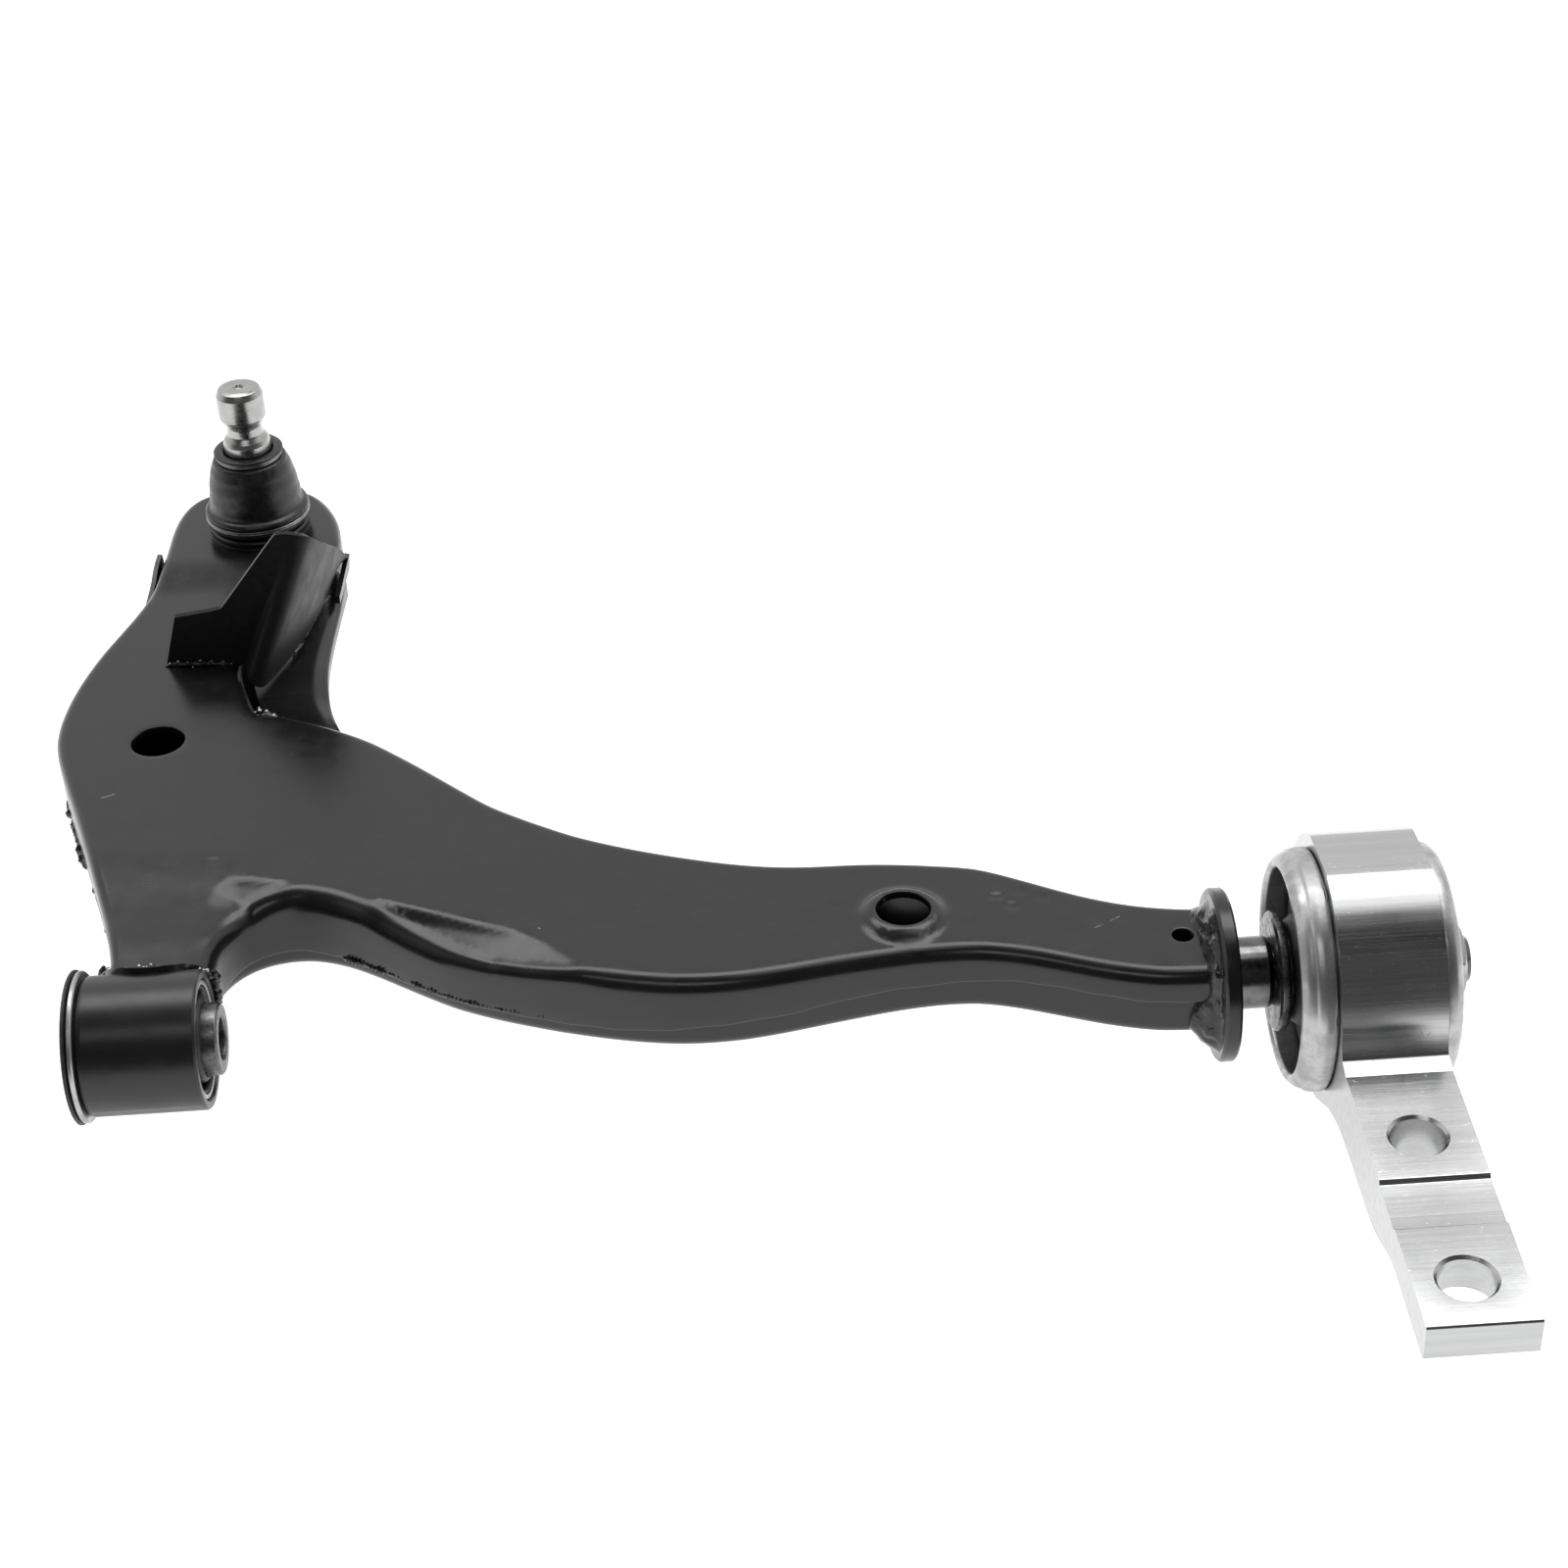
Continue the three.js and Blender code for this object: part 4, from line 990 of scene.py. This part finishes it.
# ---- rear flange, pin, bush ----------------------------------------------------------------------
def build_rear():
    disc = rounded([(12.55, FLANGE_FACE), (28.2, FLANGE_FACE, 0.2), (29.2, 356.6, 0.2),
                    (29.2, 360.4, 0.2), (28.4, 361.2, 0.2), (14.4, 361.2, 0.4), (13.6, 361.9, 0.3),
                    (12.55, 361.9)], 0.3)

    def wavy(radius, height, angle):
        return radius + 0.12 * np.sin(angle * 3 + 1) * (radius > 25), height

    turned_piece("rear_disc", disc, "coat", "arm", "arm_paint", "rear_flange", segments=144, shape=wavy)
    pin = rounded([(0, 354.8, 0), (11.2, 354.8, 0.4), (12.25, 355.8, 0.4), (12.25, 373.2, 0.5),
                   (11.4, 375, 0.5), (9.0, 375, 0.2), (9.0, 431, 0.1), (8.6, 431.6, 0.1),
                   (8.85, 432.2, 0.1), (8.85, 439.6, 0.4), (7.6, 441.5, 0.3), (0, 441.5, 0)], 0.3)
    turned_piece("rear_pin_shank", pin, "pin", "arm", "pin_steel", "rear_pin")
    collar = rounded([(9.3, 375.4), (19.2, 375.4, 0.3), (20.2, 376.2, 0.3), (20.2, 378.1, 0.2),
                      (19.1, 379.2, 0.2), (9.3, 379.2)], 0.2)
    turned_piece("rear_collar", collar, "collar", "arm", "bush_steel", "rear_bush_washer_front")
    inner = rounded([(9.3, 379.5), (13.5, 379.5, 0.4), (14, 380, 0.3), (14, 427.7, 0.3),
                     (13.5, 428.2, 0.4), (9.3, 428.2)], 0.3)
    turned_piece("rear_sleeve_inner", inner, "collar", "arm", "bush_steel", "rear_bush_inner_sleeve")
    rubber = [
        (14.3, 380.4, 0.2), (16.2, 380.6, 0.8), (18.6, 383.5, 1.5), (21.6, 388.4, 2.2),
        (25.4, 390.8, 2.5), (29.0, 389.6, 2.0), (31.4, 387.6, 1.2), (33.4, 387.8, 0.8),
        (34.6, 389.6, 0.7), (36.1, 391.0, 0.3), (36.1, 423, 0.3), (33.6, 426.2, 1.0),
        (30.5, 426.0, 1.5), (26.5, 422.6, 2.5), (21.5, 424.6, 2.0), (17.6, 427.7, 1.0),
        (14.3, 427.9, 0.2),
    ]
    rubber = resampled(rounded(rubber, 0.5), 0.9, True)
    turned_piece("rear_rubber", rubber, "rubber", "arm", "rubber_black", "rear_bush_rubber",
                 segments=128)
    sleeve = [
        (34.6, 380.3, 0.5), (35.0, 379.2, 0.7), (36.1, 378.6, 0.7), (37.0, 379.0, 0.5),
        (38.8, 380.7, 0.8), (39.7, 382.4, 0.4), (39.8, 383.2, 0.3), (40.6, 383.9, 0.5),
        (41.0, 385.8, 1.0), (41.0, 389.1, 0.5), (40.5, 389.6, 0.3), (38.4, 389.6, 0.2),
        (38.4, 424.9, 0.2), (40.4, 424.9, 0.4), (40.8, 426.4, 0.8), (40.2, 428.8, 1.2),
        (38.5, 430.8, 1.0), (36.6, 431.5, 0.5), (36.0, 430.8, 0.5), (35.8, 425.5, 0.5),
        (36.4, 423.6, 0.3), (36.4, 390.9, 0.3), (35.6, 388.0, 0.8), (34.8, 382.6, 0.6),
    ]
    sleeve = resampled(rounded(sleeve, 0.5), 0.7, True)

    def hammered(radius, height, angle):
        wave = 0.09 * np.sin(angle * 7 + 0.6) + 0.06 * np.sin(angle * 17 + 2)
        return radius + wave * (np.abs(height - 384) < 5) * (radius > 38), height

    turned_piece("rear_sleeve_outer", sleeve, "zinc", "rear_bracket_body", "bush_steel",
                 "rear_bush_outer_sleeve", segments=176, shape=hammered)
    washer = rounded([(9.3, 428.5), (18.9, 428.5, 0.4), (19.6, 429.2, 0.4), (19.6, 430.8, 0.4),
                      (18.9, 431.5, 0.4), (9.3, 431.5)], 0.3)
    turned_piece("rear_washer", washer, "zinc", "arm", "bush_steel", "rear_bush_washer_rear")
    nut = resampled(rounded([(9.3, 431.9), (11.8, 431.9, 0.2), (13.8, 433.0, 0.2), (13.8, 438.0, 0.2),
                             (11.8, 439.1, 0.2), (10.2, 439.1, 0.2),
                             (9.3, 438.2, 0.2)], 0.2), 0.4, True)

    def hexagon(radius, height, angle):
        flat = 12.0 / np.cos((angle + math.pi / 6) % (math.pi / 3) - math.pi / 6)
        return np.minimum(radius, flat), height

    turned_piece("rear_nut", nut, "zinc", "arm", "pin_steel", "pin_nut", segments=180, shape=hexagon,
                 crease=30)


build_rear()


# ---- extruded bracket ----------------------------------------------------------------------------
RING_R = 45.5


def on_ring(degrees):
    a = math.radians(degrees)
    return (RING_R * math.cos(a), RING_R * math.sin(a))


def applied(piece):
    """Replaces a piece's mesh with what its modifiers make of it."""
    graph = bpy.context.evaluated_depsgraph_get()
    mesh = bpy.data.meshes.new_from_object(piece.evaluated_get(graph))
    piece.modifiers.clear()
    piece.data = mesh
    return piece


def build_bracket():
    outline = [on_ring(d) for d in np.linspace(66.5, -113, 110)]
    outline += [tuple(p) for p in spline([
        (-20.5, -40.2), (-27, -36.4), (-34, -32.2), (-43, -28.6), (-52, -26.4), (-66, -25.1),
        (-80, -24.7), (-90, -24.4), (-100, -23.5), (-108, -21.3), (-116, -18.2), (-122, -16.0),
        (-127, -15.1), (-131, -15),
    ], 2.0)]
    tail = rounded([
        (-131, -15), (-165.7, -15, 1.4), (-165.7, -2, 1.2), (-124.2, -2, 0.9), (-123.2, -3.4, 0.5),
        (-103.4, -3.4, 0.5), (-102.4, -2, 0.9), (-54, -2, 2), (-47.4, -0.4, 2), (-45.2, 5.2),
    ], 0.6, closed=False, steps=6)
    outline += [tuple(p) for p in tail[1:]]
    outline += [on_ring(d) for d in np.linspace(168, 99.5, 44)]
    outline = np.array(outline)
    keep = np.linalg.norm(outline - np.roll(outline, 1, 0), axis=1) > 0.05
    outline = outline[keep]
    bore = circle(38.7, 0, 0, 144)
    flat, tris = filled(outline, [bore], 400.0, 1.0)
    front, back = 390.0, 424.5
    n = len(flat)
    verts = np.vstack([np.column_stack([np.full(n, x), flat]) for x in (front, back)])
    faces = backwards(tris) + [[i + n for i in t] for t in tris]
    faces += [[a, b, b + n, a + n] for a, b in open_edges(tris)]
    piece = new_piece("rear_bracket_extrusion", verts, faces, MATERIALS["alloy"], crease=24)
    for k, y in enumerate((-83.5, -146.5)):
        profile = [(0, -40), (8.8, -40), (8.8, -15.9), (9.8, -14.9), (9.8, -14.89), (8.8, -13.9),
                   (8.8, -3.0), (9.8, -2.0), (12.0, 0.2), (0, 0.2)]
        if k == 0:
            profile = [(0, -40), (10.8, -40), (10.8, -25.9), (8.8, -23.9), (8.8, -3.0), (9.8, -2.0),
                       (12.0, 0.2), (0, 0.2)]
        cutter = new_piece(f"cutter_{k}", *turned(profile, (406.5, y, 0)),
                           MATERIALS["alloy"])
        hole = piece.modifiers.new("hole", "BOOLEAN")
        hole.operation = "DIFFERENCE"
        hole.solver = "EXACT"
        hole.object = cutter
        applied(piece)
        bpy.data.objects.remove(cutter)
    mesh = piece.data
    work = bmesh.new()
    work.from_mesh(mesh)
    bmesh.ops.dissolve_limit(work, angle_limit=math.radians(0.6), verts=work.verts[:],
                             edges=work.edges[:])
    bmesh.ops.remove_doubles(work, verts=work.verts[:], dist=0.00001)
    work.to_mesh(mesh)
    work.free()
    for polygon in mesh.polygons:
        polygon.use_smooth = True
    mesh.set_sharp_from_angle(angle=math.radians(24))
    edge_bevel(piece, 0.45, angle=40)
    mesh.materials.clear()
    mesh.materials.append(MATERIALS["alloy"])
    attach(piece, "rear_bracket_body")
    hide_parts("rear_bracket")


build_bracket()


# ---- ball joint ----------------------------------------------------------------------------------
def build_ball_joint():
    housing = rounded([
        (18.3, -9.4, 0.3), (18.3, 15, 0.4), (13.4, 20.3, 0.4), (13.6, 21.5, 0.4), (15.8, 25, 0.3),
        (17.6, 25, 0.3), (17.6, 23.4, 0.3), (19.6, 23.4, 0.5), (20.4, 22.6, 0.4), (20.4, 20.4, 0.2),
        (20.6, 20.2, 0.2), (20.6, 4, 0.5), (20, 3, 0.5), (20, -8.4, 0.6), (19.4, -9.6, 0.5),
        (18.8, -9.8, 0.3),
    ], 0.3)
    turned_piece("joint_housing", housing, "tube", "arm", "housing_paint", "ball_housing", centre=BALL,
                 segments=128)
    cover = rounded([
        (0, -9.6, 0), (9, -9.6, 1.5), (12, -10.4, 1.5), (16.8, -10.4, 0.6), (18, -9.2, 0.6),
        (18, -8.2, 0.2), (12.5, -8.2, 1.0), (9, -8.6, 1.0), (0, -8.4, 0),
    ], 0.4)
    turned_piece("joint_cover", cover, "zinc", "arm", "housing_paint", "housing_cover", centre=BALL)
    spring = rounded([(9.6, -7.8), (9.6, -7.0), (15.4, -4), (16.6, -4), (16.6, -4.8)], 0.15)
    turned_piece("joint_spring", spring, "spring", "arm", "spring_steel", "preload_spring", centre=BALL,
                 segments=72)
    ball_radius, seat_radius, ball_height = 15, 15.3, 8

    def seat_arc(first, last, count):
        heights = np.linspace(first, last, count)
        return [(math.sqrt(seat_radius ** 2 - z * z), ball_height + z) for z in heights]

    seat = [(17.9, 8.2), (17.9, 14.8), (13.4, 19.7), (13.0, 19.3), *seat_arc(9, 0.2, 12)]
    turned_piece("joint_seat_top", seat, "polymer", "arm", "seat_polymer", "ball_seat_upper",
                 centre=BALL, segments=72)
    seat = [(17.9, 7.8), *seat_arc(-0.2, -11.5, 14), (9.8, -6), (17.9, -2.4)]
    turned_piece("joint_seat_bottom", seat, "polymer", "arm", "seat_polymer", "ball_seat_lower",
                 centre=BALL, segments=72)

    stud = [(0, -7)]
    for a in np.linspace(-math.pi / 2, 1.02, 36)[1:]:
        stud.append((ball_radius * math.cos(a), ball_height + ball_radius * math.sin(a)))
    neck = rounded([
        stud[-1], (7.5, 22.4, 1.0), (7.6, 26, 4), (9.2, 40, 6), (9.6, 57, 3), (9.55, 60.2, 1.0),
        (8.9, 62.0, 1.0), (7.2, 64.0, 1.6), (7.1, 67.4, 1.8), (8.7, 70.6, 1.0), (9.5, 71.8, 0.6),
        (9.5, 81.6, 0.8), (8.3, 83.9, 0.6), (6.3, 84.5, 0.5), (2.2, 84.5, 0.3), (1.4, 83.2, 0.2),
        (0, 83.0, 0),
    ], 0.6, closed=False)
    stud += [tuple(p) for p in neck[1:]]
    turned_piece("joint_stud", stud, "stud", "stud", "stud_steel", "ball_stud", centre=BALL)

    boot = [
        (18.0, 24.9, 0.2), (20.6, 24.9, 0.3), (21.3, 25.6, 0.3), (21.3, 26.5, 0.3), (20.4, 26.8, 0.15),
        (20.4, 28.6, 0.15), (21.2, 28.9, 0.2), (21.3, 29.9, 0.5), (20.6, 31.0, 0.5), (19.2, 31.6, 0.6),
        (18.8, 33.4, 1.0), (18.6, 37, 2), (17.9, 42, 3), (16.6, 48, 3), (15.5, 51, 1.2),
        (14.8, 52.8, 0.6), (13.8, 53.2, 0.3), (12.45, 53.3, 0.15), (12.45, 55.3, 0.15),
        (13.9, 55.4, 0.3), (14.3, 56.0, 0.3), (13.6, 56.6, 0.3), (11.6, 56.9, 0.5), (10.1, 56.4, 0.3),
        (9.95, 48, 0.5), (12.6, 46.6, 1.5), (15.2, 40, 2), (16.4, 34, 2), (16.6, 30, 1), (18, 28, 0.6),
    ]
    boot = resampled(rounded(boot, 0.4), 0.55, True)

    def folds(radius, height, angle):
        body = smooth(30.5, 34, height) * (1 - smooth(49, 52, height))
        ripple = 0.05 * np.sin(height * 0.9 + 0.5) + 0.12 * np.sin(2 * angle + height * 0.16)
        return radius + ripple * body, height

    piece = new_piece("joint_boot", *turned(boot, BALL, segments=112, shape=folds), MATERIALS["boot"],
                      None, "rubber_black", ["dust_boot"], crease=50)
    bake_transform(piece)

    for name, radius, z, thick, body, node in (
        ("boot_clip_lower", 20.45, 27.7, 0.45, "arm", "boot_bottom_ring"),
        ("boot_clip_upper", 12.55, 54.35, 0.44, "boot_neck", "boot_top_ring"),
    ):
        coils = [
            turned(circle(thick, radius + thick, z + half * thick * 2.02, 14), BALL, segments=112)
            for half in (-0.5, 0.5)
        ]
        new_piece(name, *joined(*coils), MATERIALS["spring"], body, "spring_steel", [node], crease=60)


build_ball_joint()


# ---- welds ---------------------------------------------------------------------------------------
def build_flange_weld():
    rows, around = 26, 220
    angle = np.linspace(0, 2 * math.pi, around, endpoint=False)
    c, s = np.cos(angle), np.sin(angle)
    half_y = np.where(c > 0, 21.6, 16.6)
    half_z = 13.6
    box = (np.abs(c / half_y) ** 5 + np.abs(s / half_z) ** 5) ** (-1 / 5)
    reach = 24.6 + 1.2 * np.sin(angle * 2 + 0.4) + 0.7 * np.sin(angle * 5 + 1.3)
    reach = np.maximum(reach, box + 2.0)
    verts = []
    begin = 351.2 - 4.6 * smooth(0.35, -0.6, s) - 3.4 * smooth(0.35, 0.9, c)
    for i in range(rows):
        t = i / (rows - 1)
        x = begin + (FLANGE_FACE - begin) * t
        arc = t ** 1.55
        bulge = 2.0 * math.sin(math.pi * min(t * 1.1, 1)) ** 1.2
        radius = (box - 1.0) + (reach - box + 1.0) * arc + bulge
        verts.append(np.column_stack([x, radius * c, radius * s]))
    verts = np.vstack(verts)
    shift = lumps(verts, 9.0, 3.0) * 1.1 + lumps(verts, 4.2, 9.0) * 0.5 + lumps(verts, 2.0, 5.0) * 0.14
    edge = np.repeat(np.sin(np.linspace(0.12, 1, rows) * math.pi) ** 0.5, around)
    away = verts * np.array([0, 1, 1])
    away /= np.linalg.norm(away, axis=1)[:, None]
    away[:, 0] = -0.5
    verts = verts + away * (shift * edge)[:, None]
    inner = verts[-around:].copy()
    inner[:, 1:] *= (14.0 / np.linalg.norm(inner[:, 1:], axis=1))[:, None]
    start = verts[:around].copy()
    start[:, 1:] *= (9.0 / np.linalg.norm(start[:, 1:], axis=1))[:, None]
    verts = np.vstack([start, verts, inner])
    faces = grid_faces(rows + 2, around, wrap=True)
    faces += [[(rows + 1) * around + j, (rows + 1) * around + (j + 1) % around, (j + 1) % around, j]
              for j in range(around)]
    new_piece("flange_weld", verts, faces, MATERIALS["weld"], "arm", "weld_paint", ["weld_rear_flange"],
              crease=80)


build_flange_weld()
# Beads: name, the node it stands for, radius, seed, ripple, roughness and path. The seam beads run
# between the two shells, in the recess under the edge.
for name, node, radius, seed, ripple, rough, path in (
    ("eye_weld_top", ["weld_front_eye"], 2.8, 1.0, 0.16, 0.5,
     [(-17.8, 23.4, 10.4), (-13, 22.4, 12.0), (-6.8, 21.4, 12.8), (3.2, 21.0, 12.9), (12, 20.8, 12.6),
      (17.5, 20.6, 11.8), (21.4, 20.2, 10.2)]),
    ("eye_weld_left", [], 2.0, 4.0, 0.16, 0.35,
     [(-16.5, 28, 12), (-17.3, 24.6, 5), (-17.2, 23.6, -1), (-16.2, 23.8, -6)]),
    ("eye_weld_right", [], 2.2, 6.0, 0.16, 0.35,
     [(21.0, 21.5, 12), (20.8, 22.8, 6), (20.6, 23.4, 0), (19.6, 23.4, -6), (18, 22, -10)]),
    ("eye_weld_bottom", [], 2.2, 8.0, 0.16, 0.35,
     [(-14, 21, -11.5), (-6, 20.2, -13.2), (4, 20.2, -13.2), (13, 20.8, -12)]),
    ("stop_weld_web", ["weld_steering_stop"], 1.7, 2.0, 0.16, 0.35,
     [(-17.2, 209.6, 17.3), (-12, 209.4, 17.6), (-5, 209.2, 17.7), (3, 208.9, 17.3), (9, 208.6, 16.6)]),
    ("notch_weld", [], 2.9, 12.0, 0.16, 0.35,
     [(21.0, 171.2, 15.8), (24.5, 173.4, 14), (28, 174.8, 11.4), (33, 173.6, 8.6)]),
    ("stop_weld_gusset", [], 1.3, 14.0, 0.4, 0.35,
     [(30.0, 222, 10.6), (33, 236, 10.4), (36.5, 250, 11.0), (40.5, 266, 12.5)]),
    ("seam_weld_front", [], 1.5, 16.0, 0.3, 0.35,
     [(60, 50.6, -7.6), (72, 42.6, -7.0), (84, 34, -6.6), (97, 24, -6.0), (110, 16.6, -5.5),
      (124, 10.4, -4.9), (140, 4.6, -4.0), (150, 1.4, -3.6)]),
    ("seam_weld_left", [], 1.6, 20.0, 0.3, 0.35,
     [(-50.6, 165, -7.4), (-48, 148, -7.4), (-43, 130, -7.4), (-37.5, 112, -7.4)]),
    ("seam_weld_eye", [], 1.1, 22.0, 0.3, 0.35,
     [(-32.2, 97, -5), (-28.0, 84, -4.6), (-23.3, 70, -4.4), (-18.4, 54, -4.2), (-15.2, 42, -4.2)]),
    ("seam_weld_inner", [], 1.6, 24.0, 0.3, 0.35,
     [(70, 146.6, -7.3), (84, 132.8, -6.6), (98, 118, -5.9), (113, 102.7, -5.2)]),
    ("seam_weld_inner_rear", [], 1.6, 26.0, 0.3, 0.35,
     [(200, 60.2, -0.6), (220, 57.0, 0.2), (240, 56.4, 0.9), (258, 55.0, 1.4)]),
    ("seam_weld_ball", [], 1.5, 28.0, 0.3, 0.35,
     [(-27.4, 292, 3.6), (-29.0, 276, 0.4), (-34, 256, -4.0), (-40, 236, -6.4)]),
):
    bead(name, node, radius, seed, ripple, rough, path)

spatter("eye_spatter", [
    (-7.2, 20.8, 15.4, 0.9), (-5.0, 20.2, 15.5, 0.6), (-1.2, 20.9, 15.6, 0.8), (1.0, 20.2, 15.7, 0.55),
    (2.9, 20.6, 15.6, 0.7), (0.6, 22.6, 15.4, 0.5), (-10.6, 21.8, 14.8, 0.55), (-14.2, 24.4, 13.8, 0.5),
    (8.6, 21.6, 15.2, 0.5), (14.6, 21.2, 14.6, 0.5), (-12.4, 21.0, 15.0, 0.6), (-9.0, 20.6, 15.3, 0.45),
    (5.4, 20.4, 15.4, 0.5), (11.2, 20.6, 15.1, 0.65), (17.0, 20.2, 14.2, 0.55), (-3.2, 21.8, 15.8, 0.5),
    (20.2, 16.8, 15.9, 0.7), (19.4, 15.2, 17.3, 0.55),
], 3.0)
spatter("stop_spatter", [
    (-15.0, 208.6, 18.7, 0.5), (-11.8, 208.9, 19.2, 0.6), (-8.1, 208.3, 19.0, 0.45),
    (-3.2, 208.7, 19.2, 0.6), (1.2, 208.2, 18.9, 0.5), (5.6, 208.4, 18.2, 0.55),
    (8.8, 207.6, 17.6, 0.4), (-6.0, 206.2, 17.9, 0.35),
], 5.0)
spatter("notch_spatter", [
    (23.2, 172.0, 18.2, 0.8), (25.4, 173.0, 17.0, 0.6), (21.8, 170.6, 18.4, 0.5),
    (27.8, 172.8, 15.0, 0.7), (22.6, 174.4, 17.8, 0.45),
], 7.0)


# ---- studio --------------------------------------------------------------------------------------
def build_floor():
    """A pale floor. The camera sees it evenly pale; reflections see it darker towards the front."""
    reach = 9000
    corners = np.array([(-reach, -reach, 0), (reach, -reach, 0), (reach, reach, 0), (-reach, reach, 0)])
    paper = bpy.data.materials.new("studio_floor")
    paper.use_nodes = True
    shader = paper.node_tree.nodes["Principled BSDF"]
    shader.inputs["Base Color"].default_value = (0.4, 0.4, 0.4, 1)
    shader.inputs["Roughness"].default_value = 0.9
    shader.inputs["Specular IOR Level"].default_value = 0.1
    shader.inputs["Emission Color"].default_value = (1, 1, 1, 1)
    tree = Tree(paper.node_tree)
    fade = tree.ramp(tree.along("Object", "Y"), -0.62, -0.42, 0.0, 1.02, "LINEAR")
    tree.link(tree.maths("MAXIMUM", fade, tree.seen_by_camera()), shader.inputs["Emission Strength"])
    new_piece("studio_floor", corners - np.array([0, 0, ORIGIN[2] / MM]), [[0, 1, 2, 3]],
                       paper)


def build_world(scene):
    """White where the camera sees it; dimmer in front and overhead for the light it gives."""
    world = bpy.data.worlds.new("studio")
    scene.world = world
    world.use_nodes = True
    background = world.node_tree.nodes["Background"]
    background.inputs["Color"].default_value = (1, 1, 1, 1)
    tree = Tree(world.node_tree)
    front = tree.ramp(tree.along("Generated", "Y"), -0.5, 0.15, 0.09, 1.0)
    high = tree.ramp(tree.along("Generated", "Z"), 0.69, 0.77, 0.95, 0.25)
    lit = tree.maths("MAXIMUM", tree.maths("MULTIPLY", front, high), tree.seen_by_camera())
    tree.link(lit, background.inputs["Strength"])


def build_studio():
    scene = bpy.context.scene
    build_floor()
    build_world(scene)
    for name, direction, distance, size_x, size_y, radiance in (
        ("softbox_far", (0.05, 1.0, 2.5), 1.7, 2.4, 0.72, 4.2),
        ("softbox_near", (-0.22, -0.9, 1.25), 1.6, 0.8, 0.28, 2.4),
        ("softbox_top", (0.6, 0.1, 1.5), 1.5, 0.6, 0.8, 1.5),
    ):
        data = bpy.data.lights.new(name, "AREA")
        data.shape = "RECTANGLE"
        data.size = size_x
        data.size_y = size_y
        data.energy = radiance * math.pi * size_x * size_y
        lamp = bpy.data.objects.new(name, data)
        scene.collection.objects.link(lamp)
        towards = Vector(direction).normalized()
        lamp.location = towards * distance
        lamp.rotation_euler = towards.to_track_quat("Z", "Y").to_euler()
    scene.view_settings.view_transform = "Standard"
    scene.view_settings.look = "None"


def turn_in_plane(angle):
    c, s = math.cos(angle), math.sin(angle)
    return np.array([[c, -s, 0], [s, c, 0], [0, 0, 1]])


def build_camera():
    elevation, yaw, roll = 0.6065, 0.0222, -0.05
    tilt = np.array([
        [1, 0, 0],
        [0, -math.sin(elevation), -math.cos(elevation)],
        [0, math.cos(elevation), -math.sin(elevation)],
    ])
    right, down, forward = turn_in_plane(roll) @ tilt @ turn_in_plane(yaw)
    data = bpy.data.cameras.new("camera")
    data.sensor_width = 36
    data.lens = 67.275
    data.clip_start = 0.01
    data.clip_end = 50
    camera = bpy.data.objects.new("camera", data)
    bpy.context.scene.collection.objects.link(camera)
    axes = Matrix([tuple(row) for row in np.column_stack([right, -down, -forward])]).to_4x4()
    camera.matrix_world = Matrix.Translation(Vector(place((198.9, -763.1, 618.1)))) @ axes
    bpy.context.scene.camera = camera


build_studio()
build_camera()
